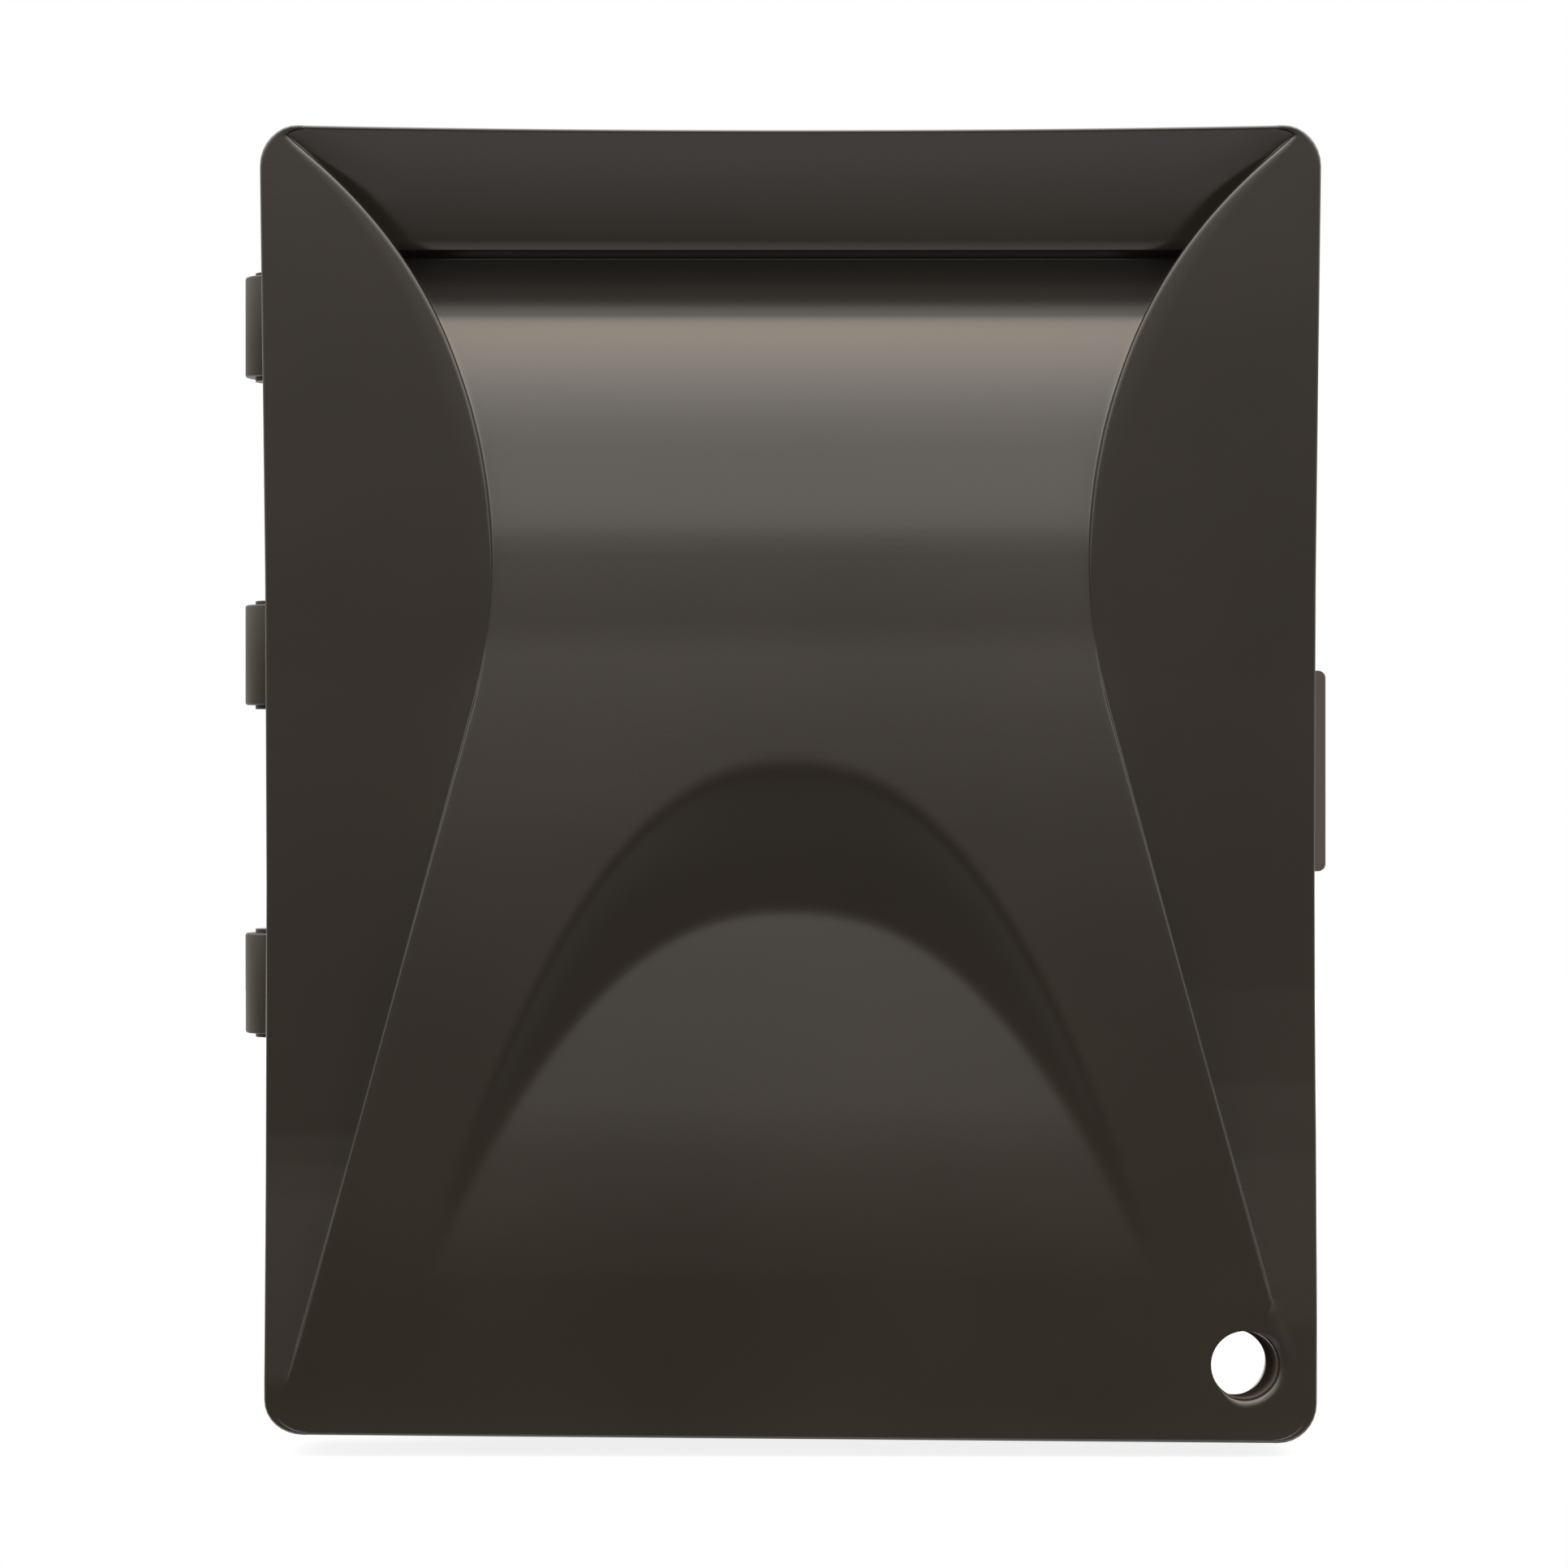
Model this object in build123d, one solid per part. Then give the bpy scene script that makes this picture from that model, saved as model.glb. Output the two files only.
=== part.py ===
from build123d import *
import os
from math import asin, cos, radians, sin, tan

# A counter-top, gravity-fed napkin dispenser. Napkins lie in a tall bay behind a hinged
# cover, pressed down by a sliding weight plate, and are drawn through a mouth in the
# sloping floor on the customer's side.
#
# It is drawn with x from the cover's centreline, y as depth behind the flat cheeks of the
# cover, and z as height above the counter. Every piece is shifted together at the end so
# that the origin is under the middle of the whole dispenser. All sizes are millimetres.

# ---- Hinged cover ------------------------------------------------------------------
COVER_W = 203.2
COVER_H = 254.0
COVER_CORNER_R = 7.5
COVER_DEPTH = 18.0          # from the cheeks to the rear rim
COVER_WALL = 2.5
COVER_LIFT = 3.0            # lower edge above the counter
WAIST_HALF = 57.9           # half width of the centre panel at its waist
WAIST_UP = 43.4             # waist above the middle of the cover
CHEEK_ARC_R = 112.0         # round edge of each cheek
FLARE_ANGLE = 15.2          # straight lower edge of each cheek, from upright
BAND_H = 22.3               # height of the top band
BAND_DEPTH = 9.0            # how far the top band slopes in
LEDGE_FALL = 11.8           # height of the hollow under the band
LEDGE_DEPTH = 14.9          # depth of the hood's upper edge
LEDGE_SAG = 3.3             # bow of the hollow
HOOD_END_UP = 28.0          # where the hood comes level with the cheeks
HOOD_SAG = 4.1
SKIRT_PROUD = 4.8           # skirt in front of the cheeks at its fullest
SKIRT_FULL_UP = 37.0        # fullest point of the skirt above the lower edge
SKIRT_SAG = 1.5
SKIRT_END_PROUD = 4.5
ARCH_HALF = 71.5            # half width of the scoop at its tips
ARCH_TIP_UP = 29.0          # the scoop's tips above the lower edge
ARCH_POWER = 2.3            # both arches fall as this power of the width
ARCH_LEAD_UP = 12.5         # outer arch's crown, carried forward to the skirt's fullest depth
ARCH_PAST = 1.04            # both arches run this far past their tips
ARCH_INNER_DOWN = 24.4
SCOOP_DEPTH = 6.0           # depth of the scoop at the crown of the inner arch

# ---- Cover hinge -------------------------------------------------------------------
HINGE_OUT = 1.6             # axis outside the cover's edge
HINGE_BACK = 25.0           # axis behind the cheeks
BARREL_R = 6.0
BARREL_L = 20.0
BARREL_COUNT = 3
BARREL_PITCH = 65.6
BARREL_MID_UP = 25.8        # middle barrel above the middle of the cover
HINGE_ROD_R = 1.5
BUSH_WALL = 1.2
BUSH_FLANGE_R = 4.0
BUSH_FLANGE_T = 0.8
CRADLE_H = 7.0
CRADLE_HALF_Y = 3.2
CRADLE_LIP = 0.8            # how far a cradle reaches past the rod's centre
STRIP_T = 2.0
STRIP_W = 14.0

# ---- Housing -----------------------------------------------------------------------
RIM_GAP = 0.3               # between the cover's rim and the housing's flange
HOUSING_W = 193.0
HOUSING_WALL = 2.5
HOUSING_DEPTH = 120.0       # behind the flange's front face
HOUSING_DROP = 3.0          # top of the housing below the cover's top edge
HOUSING_CORNER_R = 12.0
HOUSING_TOP_R = 5.0
HEEL_Z = 38.0               # underside of the housing at the cover side
FLOOR_ANGLE = 27.3
FLOOR_T = 3.0
FLOOR_RECESS = 3.0          # underside of the floor above the wall's lower edge
FLANGE_T = 2.5
FLANGE_OUT = 4.5            # flange beyond the housing's sides
FLANGE_LIP = 10.0           # flange inside the housing's sides
FLANGE_BOTTOM_Z = 26.0
FLANGE_TOP_GAP = 1.0        # below the cover's top edge
FLANGE_R = 6.0
SILL_LIP = 1.0              # flange above the floor

# ---- Mouth -------------------------------------------------------------------------
PANEL_START = 43.0          # along the floor's slope from the flange
LEDGE_W = 6.6
LEDGE_INSET = 0.6
MOUTH_W = 112.0
MOUTH_L = 40.0
MOUTH_ALONG = 84.0          # centre of the mouth along the slope
BEZEL_W = 8.0
BEZEL_T = 4.0

# ---- Pedestal and base -------------------------------------------------------------
BASE_W = 156.0
BASE_SETBACK = 6.0          # base behind the housing's flange
BASE_FRONT_MARGIN = 3.0     # base short of the housing's customer side
BASE_T = 12.0
BASE_WALL = 3.0
BASE_R = 14.0
FOOT_H = 3.0
FOOT_R = 8.0
FOOT_INSET = 17.0
BOTTOM_T = 2.0
BALLAST_T = 5.0
BALLAST_GAP = 2.0
COLUMN_W = 132.0
COLUMN_SETBACK = 8.0
COLUMN_D = 27.0
COLUMN_R = 8.0
COLUMN_TOP_T = 5.0

# ---- Guide rods and follower -------------------------------------------------------
ROD_R = 3.0
ROD_WALL_GAP = 5.5          # rod centre inside the housing wall
ROD_BACK = 62.0             # rod centre behind the flange's front face
BRACKET_H = 10.0
BRACKET_D = 26.0
BRACKET_T = 9.5
BRACKET_LOW_Z = 86.0
BRACKET_TOP_GAP = 1.0
FOLLOWER_W = 162.0
FOLLOWER_START = 8.0        # along the slope
FOLLOWER_END = 124.0
FOLLOWER_T = 2.4
PAD_T = 1.5
EAR_H = 12.0
EAR_D = 15.0
TAB_W = 44.0
TAB_H = 13.0
WEIGHT_W = 90.0
WEIGHT_L = 40.0
WEIGHT_T = 8.0
GUIDE_BUSH_WALL = 1.5

# ---- Latch -------------------------------------------------------------------------
LATCH_UP = 2.6              # middle of the lever above the middle of the cover
LATCH_PLATE_T = 1.2
LEVER_H = 40.0
LEVER_T = 3.0
LEVER_OUT = 5.1             # lever's outer face beyond the cover's edge
LEVER_FRONT = 2.5           # lever's front edge behind the cover's rim
LEVER_D = 28.0
LEVER_R = 1.5
PIVOT_BACK = 34.0           # pivot behind the cheeks
PIVOT_R = 2.7
LATCH_PIN_R = 1.5
EAR_T = 3.0
LEVER_BARREL_H = 24.0
TOOTH_FRONT = 21.0
TOOTH_D = 3.4
TOOTH_H = 15.0
TOOTH_TIP_IN = 4.0          # tooth's tip inside the cover's edge
KEEPER_T = 2.1
KEEPER_H = 25.0
KEEPER_FRONT = 7.0
KEEPER_BACK = 27.4
KEEPER_SLACK = 0.6
SPRING_R = 1.9
SPRING_WIRE_R = 0.3
SPRING_TURNS = 5
SPRING_BACK = 45.0

# ---- Padlock hole ------------------------------------------------------------------
HOLE_R = 6.35
HOLE_FROM_EDGE = 14.0       # centre from the cover's side edge
HOLE_FROM_BOTTOM = 15.0     # centre from the cover's lower edge
HOLE_RAKE = 6.7             # the bore drops towards the back
FERRULE_WALL = 1.65
FERRULE_L = 21.3
LUG_W = 20.0
LUG_T = 3.0
LUG_HOLE_R = 7.4
LUG_FOOT = 3.0              # metal left round the hole
LUG_LAP = 10.0              # how far the lug laps the flange

# ---- Fixings and clearances ---------------------------------------------------------
SCREW_R = 1.5
HEAD_R = 2.8
HEAD_H = 1.6
SLOT_W = 0.7
SLOT_DEPTH = 0.8
SCREW_GAP = 0.05            # round a screw's shank
RUN_GAP = 0.06              # round a turning or sliding shaft
FIT_GAP = 0.03              # round a fixed insert
SEAT_GAP = 0.3              # between loose neighbours

# ---- Places worked out from the sizes ----------------------------------------------
MID_Z = COVER_LIFT + COVER_H / 2
HALF_W = COVER_W / 2
HALF_H = COVER_H / 2
BAND_UP = HALF_H - BAND_H            # lower edge of the top band above the middle
SKIRT_FULL_DOWN = HALF_H - SKIRT_FULL_UP
ARCH_TIP_DOWN = HALF_H - ARCH_TIP_UP
REACH = 30.0                # cutting shapes run this far past what they cut
HINGE_X = -HALF_W - HINGE_OUT
HINGE_ZS = [MID_Z + BARREL_MID_UP + (i - (BARREL_COUNT - 1) / 2) * BARREL_PITCH
            for i in range(BARREL_COUNT)]
FLANGE_Y = COVER_DEPTH + RIM_GAP
HOUSING_BACK = FLANGE_Y + HOUSING_DEPTH
HOUSING_TOP = COVER_LIFT + COVER_H - HOUSING_DROP
INNER_HALF = HOUSING_W / 2 - HOUSING_WALL
FLANGE_TOP = COVER_LIFT + COVER_H - FLANGE_TOP_GAP
FLOOR_TOP = FLOOR_RECESS + FLOOR_T
LATCH_Z = MID_Z + LATCH_UP
LEVER_X = HALF_W + LEVER_OUT
PIVOT_X = LEVER_X - LEVER_T - 3.0
HOLE_X = HALF_W - HOLE_FROM_EDGE
HOLE_Z = COVER_LIFT + HOLE_FROM_BOTTOM
ROD_X = INNER_HALF - ROD_WALL_GAP
ROD_Y = FLANGE_Y + ROD_BACK

SLOPE = Plane(origin=(0, FLANGE_Y, HEEL_Z), x_dir=(1, 0, 0),
              z_dir=(0, -sin(radians(FLOOR_ANGLE)), cos(radians(FLOOR_ANGLE))))
OFF_SLOPE = Axis((0, 0, 0), SLOPE.z_dir)


# ---- Shapes used for several pieces --------------------------------------------------
def block(x0, x1, y0, y1, z0, z1):
    """A square block between the given sides."""
    return Pos(x0, y0, z0) * Box(x1 - x0, y1 - y0, z1 - z0, align=(Align.MIN,) * 3)


def slope_block(x0, x1, s0, s1, n0, n1):
    """A block laid on the floor's slope: s runs up the slope, n stands square to it."""
    return SLOPE * block(x0, x1, s0, s1, n0, n1)


def carried_back(face, y0, y1):
    """A face drawn in x and z, carried from depth y0 to depth y1."""
    return Pos(0, y1, 0) * extrude(Plane.XZ * face, y1 - y0)


def carried_across(face, half):
    """A face drawn in y and z, carried across x to both sides."""
    return Pos(-half, 0, 0) * extrude(Plane.YZ * face, 2 * half)


def upright(x, y, z0, z1, radius):
    """An upright cylinder."""
    return Pos(x, y, z0) * Cylinder(radius, z1 - z0, align=(Align.CENTER, Align.CENTER, Align.MIN))


def rounded(width, height, radius, x=0.0, z=0.0):
    """A rounded rectangle about a point."""
    return Pos(x, z) * RectangleRounded(width, height, radius)


def screw(length):
    """A slotted pan-head screw: the head stands on z = 0, the shank hangs below."""
    head = Cylinder(HEAD_R, HEAD_H, align=(Align.CENTER, Align.CENTER, Align.MIN))
    head = fillet(head.edges().sort_by(Axis.Z)[-1], HEAD_H * 0.45)
    shank = Cylinder(SCREW_R, length, align=(Align.CENTER, Align.CENTER, Align.MAX))
    slot = Pos(0, 0, HEAD_H) * Box(2 * HEAD_R, SLOT_W, 2 * SLOT_DEPTH)
    return head + shank - slot


def screws(places, length):
    """A set of screws, one at each place."""
    return Part() + [place * screw(length) for place in places]


def screw_hole(length):
    """The hole that a screw's shank sits in."""
    return Cylinder(SCREW_R + SCREW_GAP, length + SCREW_GAP, align=(Align.CENTER, Align.CENTER, Align.MAX))


def seat(x, y, z, direction):
    """The place of a screw whose head stands towards the given direction."""
    return Plane(origin=(x, y, z), z_dir=direction)


# ---- Cover ---------------------------------------------------------------------------
def mirrored_face(points_and_arcs):
    """A face from the right half of an outline, mirrored about the centreline."""
    half = Curve() + points_and_arcs
    whole = half + mirror(half, about=Plane.YZ)
    return make_face(whole)


def hourglass():
    """The centre panel's outline: round beside the hood, flared beside the skirt."""
    centre_x = WAIST_HALF + CHEEK_ARC_R
    flare = radians(FLARE_ANGLE)
    rise = asin((BAND_UP - WAIST_UP) / CHEEK_ARC_R)

    def on_arc(angle):
        return (centre_x - CHEEK_ARC_R * cos(angle), WAIST_UP + CHEEK_ARC_R * sin(angle))

    tangent = on_arc(-flare)
    arc_top = on_arc(rise)
    foot_z = -HALF_H - REACH
    foot = (tangent[0] + (tangent[1] - foot_z) * tan(flare), foot_z)
    past = 1 + REACH / (HALF_W - arc_top[0])
    corner = (arc_top[0] + (HALF_W - arc_top[0]) * past, arc_top[1] + (HALF_H - arc_top[1]) * past)
    return mirrored_face([
        Line((0, foot_z), foot),
        Line(foot, tangent),
        ThreePointArc(tangent, on_arc((rise - flare) / 2), arc_top),
        Line(arc_top, corner),
        Line(corner, (0, corner[1])),
    ])


def bowed(start, end, sag):
    """An arc from start to end; a positive sag bows it to the right of the way it runs."""
    dx, dy = end[0] - start[0], end[1] - start[1]
    length = (dx * dx + dy * dy) ** 0.5
    middle = ((start[0] + end[0]) / 2 + dy / length * sag, (start[1] + end[1]) / 2 - dx / length * sag)
    return ThreePointArc(start, middle, end)


def skirt_depth(down):
    """Depth of the skirt's lower stretch at a distance below the middle of the cover."""
    share = (down - SKIRT_FULL_DOWN) / (HALF_H - SKIRT_FULL_DOWN)
    return -SKIRT_PROUD + (SKIRT_PROUD - SKIRT_END_PROUD) * share


def centre_side():
    """All that lies behind the centre panel's surface, seen from the side (y, z)."""
    band_slope = BAND_DEPTH / (HALF_H - BAND_UP)
    top = (-band_slope * REACH, HALF_H + REACH)
    band = (BAND_DEPTH, BAND_UP)
    ledge = (LEDGE_DEPTH, BAND_UP - LEDGE_FALL)
    hood_end = (0.0, HOOD_END_UP)
    full = (-SKIRT_PROUD, -SKIRT_FULL_DOWN)
    foot = (skirt_depth(HALF_H + REACH), -HALF_H - REACH)
    behind = COVER_DEPTH + 2 * REACH
    edges = Curve() + [
        Line(top, band),
        bowed(band, ledge, -LEDGE_SAG),
        bowed(ledge, hood_end, HOOD_SAG),
        bowed(hood_end, full, SKIRT_SAG),
        Line(full, foot),
        Line(foot, (behind, foot[1])),
        Line((behind, foot[1]), (behind, top[1])),
        Line((behind, top[1]), top),
    ]
    return make_face(edges)


def arch_z(x, crown_up):
    """Height of an arch above the middle of the cover at a distance x from its centre."""
    return crown_up - (crown_up + ARCH_TIP_DOWN) * (abs(x) / ARCH_HALF) ** ARCH_POWER


def arch_x(z, crown_up):
    """Half width of an arch at a height."""
    return ARCH_HALF * ((crown_up - z) / (crown_up + ARCH_TIP_DOWN)) ** (1 / ARCH_POWER)


def arch_face(right, widen):
    """A face under an arch through the points of its right half, widened all round."""
    right = [(x * (1 + widen / ARCH_HALF), z + widen) for x, z in right]
    left = [(-x, z) for x, z in reversed(right[1:])]
    arch = Spline(left + right)
    return make_face(Curve() + [arch, Line(right[-1], left[0])])


def scoop(grow):
    """The hollow of the scoop, from its outer arch down to its inner panel."""
    crown = -ARCH_INNER_DOWN
    span = crown + ARCH_TIP_DOWN
    steps = 8
    full_y = -SKIRT_PROUD + grow
    crown_y = SCOOP_DEPTH - SKIRT_PROUD * 0.75 + grow
    outer = []
    inner = []
    for i in range(steps + 1):
        x = ARCH_HALF * ARCH_PAST * i / steps
        z = arch_z(x, crown)
        share = (z + ARCH_TIP_DOWN) / span
        wide = arch_x(z, ARCH_LEAD_UP)
        outer.append((x, arch_z(x, ARCH_LEAD_UP)))
        inner.append((wide - (wide - x) / share, z))
    mouth = arch_face(outer, grow / 2)
    floor = arch_face(inner, grow / 2)
    ends = [Pos(0, full_y, 0) * (Plane.XZ * mouth), Pos(0, crown_y, 0) * (Plane.XZ * floor)]
    hollow = loft(ends, ruled=True)
    hollow += Pos(0, full_y, 0) * extrude(Plane.XZ * mouth, REACH)
    slope = (crown_y - full_y) / span
    above = (crown_y + slope * 2 * REACH, crown + 2 * REACH)
    below = (full_y - slope * REACH, -ARCH_TIP_DOWN - REACH)
    front = Polyline(above, below, (-2 * REACH, below[1]), (-2 * REACH, above[1]), close=True)
    return hollow & carried_across(make_face(front), HALF_W)


def cover_form(inset):
    """The cover's outer form, or the same form drawn in by a wall's thickness."""
    deep = COVER_DEPTH + (REACH if inset else 0)
    side = centre_side()
    glass = hourglass()
    narrow, wide = glass, glass
    if inset:
        side = offset(side, -inset, kind=Kind.INTERSECTION)
        narrow = offset(glass, -inset, kind=Kind.INTERSECTION)
        wide = offset(glass, inset, kind=Kind.INTERSECTION)
    outline = RectangleRounded(COVER_W - 2 * inset, COVER_H - 2 * inset, COVER_CORNER_R - inset)
    room = carried_back(outline, -REACH, deep)
    behind = room & carried_across(side, HALF_W)
    ahead = room - carried_across(side, HALF_W)
    form = carried_back(outline, inset, deep)
    form = form - (ahead & carried_back(wide, -2 * REACH, 2 * REACH + deep))
    form = form + (behind & carried_back(narrow, -2 * REACH, deep))
    return form - scoop(inset)


def ferrule_bar(radius):
    """A bar along the raked axis of the padlock hole."""
    front = skirt_depth(HALF_H - HOLE_FROM_BOTTOM)
    plane = Plane(origin=(HOLE_X, front, HOLE_Z),
                  z_dir=(0, cos(radians(HOLE_RAKE)), -sin(radians(HOLE_RAKE))))
    return plane * Cylinder(radius, 2 * (FERRULE_L + REACH))


def hinge_web(z):
    """The web that joins one barrel to the cover's side."""
    x0 = -HALF_W
    return block(x0, x0 + COVER_WALL, COVER_DEPTH - 2.0, HINGE_BACK, z - BARREL_L / 2, z + BARREL_L / 2)


def keeper_screws_at():
    """Places of the screws that hold the keeper to the cover's side."""
    x = HALF_W - COVER_WALL - KEEPER_T
    y = (KEEPER_FRONT + COVER_DEPTH) / 2
    return [seat(x, y, LATCH_Z + side * KEEPER_H * 0.32, (-1, 0, 0)) for side in (-1, 1)]


def make_cover():
    """The moulded cover with its three hinge barrels."""
    body = Pos(0, 0, MID_Z) * (cover_form(0) - cover_form(COVER_WALL))
    bush_r = HINGE_ROD_R + RUN_GAP + BUSH_WALL
    for z in HINGE_ZS:
        body += upright(HINGE_X, HINGE_BACK, z - BARREL_L / 2, z + BARREL_L / 2, BARREL_R) + hinge_web(z)
    for z in HINGE_ZS:
        body -= upright(HINGE_X, HINGE_BACK, z - BARREL_L, z + BARREL_L, bush_r + FIT_GAP)
    body -= ferrule_bar(HOLE_R + FERRULE_WALL + FIT_GAP)
    for place in keeper_screws_at():
        body -= place * screw_hole(KEEPER_T + COVER_WALL - 0.8)
    return body


def make_hinge_bushes():
    """Flanged nylon bushes pressed into both ends of each barrel."""
    bore = HINGE_ROD_R + RUN_GAP
    bushes = []
    for z in HINGE_ZS:
        for end in (-1, 1):
            face = z + end * BARREL_L / 2
            tube_end = z + end * BARREL_L / 4
            flange_end = face + end * BUSH_FLANGE_T
            tube = upright(HINGE_X, HINGE_BACK, min(tube_end, face), max(tube_end, face), bore + BUSH_WALL)
            low, high = min(face, flange_end), max(face, flange_end)
            flange = upright(HINGE_X, HINGE_BACK, low, high, BUSH_FLANGE_R)
            hole = upright(HINGE_X, HINGE_BACK, z - BARREL_L, z + BARREL_L, bore)
            bushes.append(tube + flange - hole)
    return Part() + bushes


def make_ferrule():
    """The padlock hole's raked lining."""
    front = skirt_depth(HALF_H - HOLE_FROM_BOTTOM)
    ring = ferrule_bar(HOLE_R + FERRULE_WALL) - ferrule_bar(HOLE_R)
    return ring & block(-HALF_W, HALF_W, front, front + FERRULE_L, 0, HALF_H)


def make_keeper():
    """The latch keeper: a plate with a window for the lever's tooth."""
    x1 = HALF_W - COVER_WALL
    low, high = LATCH_Z - KEEPER_H / 2, LATCH_Z + KEEPER_H / 2
    plate = block(x1 - KEEPER_T, x1, KEEPER_FRONT, KEEPER_BACK, low, high)
    half = TOOTH_H / 2 + KEEPER_SLACK
    window = block(x1 - 2 * KEEPER_T, x1 + 1, TOOTH_FRONT - KEEPER_SLACK,
                   TOOTH_FRONT + TOOTH_D + SEAT_GAP, LATCH_Z - half, LATCH_Z + half)
    plate -= window
    for place in keeper_screws_at():
        plate -= place * screw_hole(KEEPER_T)
    return plate


# ---- Hinge strip and rod ---------------------------------------------------------------
def cradle_spans():
    """Lower and upper end of each rod cradle, beside and between the barrels."""
    step = BARREL_L / 2 + BUSH_FLANGE_T + SEAT_GAP
    low, high = HINGE_ZS[0] - step, HINGE_ZS[-1] + step
    spans = [(low - CRADLE_H, low), (high, high + CRADLE_H)]
    for a, b in zip(HINGE_ZS[:-1], HINGE_ZS[1:]):
        spans.append(((a + b - CRADLE_H) / 2, (a + b + CRADLE_H) / 2))
    return spans


def strip_screws_at():
    wall = -HOUSING_W / 2 - STRIP_T
    y = HINGE_BACK + STRIP_W - CRADLE_HALF_Y - 3.5
    return [seat(wall, y, (a + b) / 2, (-1, 0, 0)) for a, b in cradle_spans()]


def make_hinge_strip():
    """The strip on the housing's side whose open cradles hold the hinge rod."""
    wall = -HOUSING_W / 2
    spans = cradle_spans()
    low = min(a for a, b in spans)
    high = max(b for a, b in spans)
    y0 = HINGE_BACK + BARREL_R + SEAT_GAP
    strip = block(wall - STRIP_T, wall, y0, HINGE_BACK + STRIP_W, low, high)
    for a, b in spans:
        near, far = HINGE_BACK - CRADLE_HALF_Y, HINGE_BACK + CRADLE_HALF_Y
        strip += block(HINGE_X - CRADLE_LIP, wall, near, far, a, b)
        strip += block(wall - STRIP_T, wall, HINGE_BACK, y0 + 1, a, b)
    strip -= upright(HINGE_X, HINGE_BACK, low - 1, high + 1, HINGE_ROD_R + FIT_GAP)
    for place in strip_screws_at():
        strip -= place * screw_hole(STRIP_T)
    return strip


def make_hinge_rod():
    """The steel rod through all the barrels."""
    spans = cradle_spans()
    low = min(a for a, b in spans) - 1.0
    high = max(b for a, b in spans) + 1.0
    rod = upright(HINGE_X, HINGE_BACK, low, high, HINGE_ROD_R)
    return chamfer(rod.edges().filter_by(GeomType.CIRCLE), 0.4)


# ---- Housing ----------------------------------------------------------------------------
def slope_yz(s, n):
    """Depth and height of a point on the floor's slope."""
    a = radians(FLOOR_ANGLE)
    return (FLANGE_Y + s * cos(a) - n * sin(a), HEEL_Z + s * sin(a) + n * cos(a))


def slope_z(y, n):
    """Height at depth y of the plane that stands n above the floor's slope."""
    a = radians(FLOOR_ANGLE)
    return HEEL_Z + (y - FLANGE_Y) * tan(a) + n / cos(a)


def housing_side(front, back, top, floor):
    """The housing seen from the side, with its sloping floor."""
    return make_face(Polyline((front, slope_z(front, floor)), (front, top), (back, top),
                              (back, slope_z(back, floor)), close=True))


def column_screws_at():
    spots = []
    for side in (-1, 1):
        for y in (FLANGE_Y + COLUMN_SETBACK + COLUMN_D * 0.3, FLANGE_Y + COLUMN_SETBACK + COLUMN_D * 0.72):
            spots.append(Plane(origin=(side * COLUMN_W * 0.38, y, slope_z(y, FLOOR_RECESS - COLUMN_TOP_T)),
                               z_dir=-SLOPE.z_dir))
    return spots


def panel_screws_at():
    x = INNER_HALF - LEDGE_W / 2
    spots = []
    for side in (-1, 1):
        for s in (PANEL_START + 12.0, panel_end() - 12.0):
            spots.append(SLOPE * Plane(origin=(side * x, s, FLOOR_TOP)))
    return spots


def panel_end():
    """Far edge of the mouth panel, clear of the customer-side wall."""
    a = radians(FLOOR_ANGLE)
    inner_back = HOUSING_BACK - HOUSING_WALL
    return (inner_back - FLANGE_Y + FLOOR_RECESS * sin(a)) / cos(a) - SEAT_GAP


def bracket_spans():
    top = HOUSING_TOP - HOUSING_WALL - BRACKET_TOP_GAP
    return [(BRACKET_LOW_Z, BRACKET_LOW_Z + BRACKET_H), (top - BRACKET_H, top)]


def bracket_screws_at():
    x = INNER_HALF - BRACKET_T
    spots = []
    for a, b in bracket_spans():
        for side in (-1, 1):
            for along in (-1, 1):
                y = ROD_Y + along * (BRACKET_D / 2 - 4.5)
                spots.append(seat(side * x, y, (a + b) / 2, (-side, 0, 0)))
    return spots


def latch_screws_at():
    x = HOUSING_W / 2 + LATCH_PLATE_T
    y = PIVOT_BACK + PIVOT_R + 3.5
    return [seat(x, y, LATCH_Z + side * (LEVER_H / 2 + 4.0), (1, 0, 0)) for side in (-1, 1)]


def lug_screws_at():
    z = FLANGE_BOTTOM_Z + LUG_LAP / 2
    y = FLANGE_Y + FLANGE_T + LUG_T
    return [seat(HOLE_X + side * LUG_W * 0.27, y, z, (0, 1, 0)) for side in (-1, 1)]


def inner_room(front, z0, z1):
    """The space inside the housing's walls, rounded at its two far corners."""
    room = block(-INNER_HALF, INNER_HALF, front, HOUSING_BACK - HOUSING_WALL, z0, z1)
    return fillet(room.edges().filter_by(Axis.Z).group_by(Axis.Y)[-1], HOUSING_CORNER_R - HOUSING_WALL)


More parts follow.
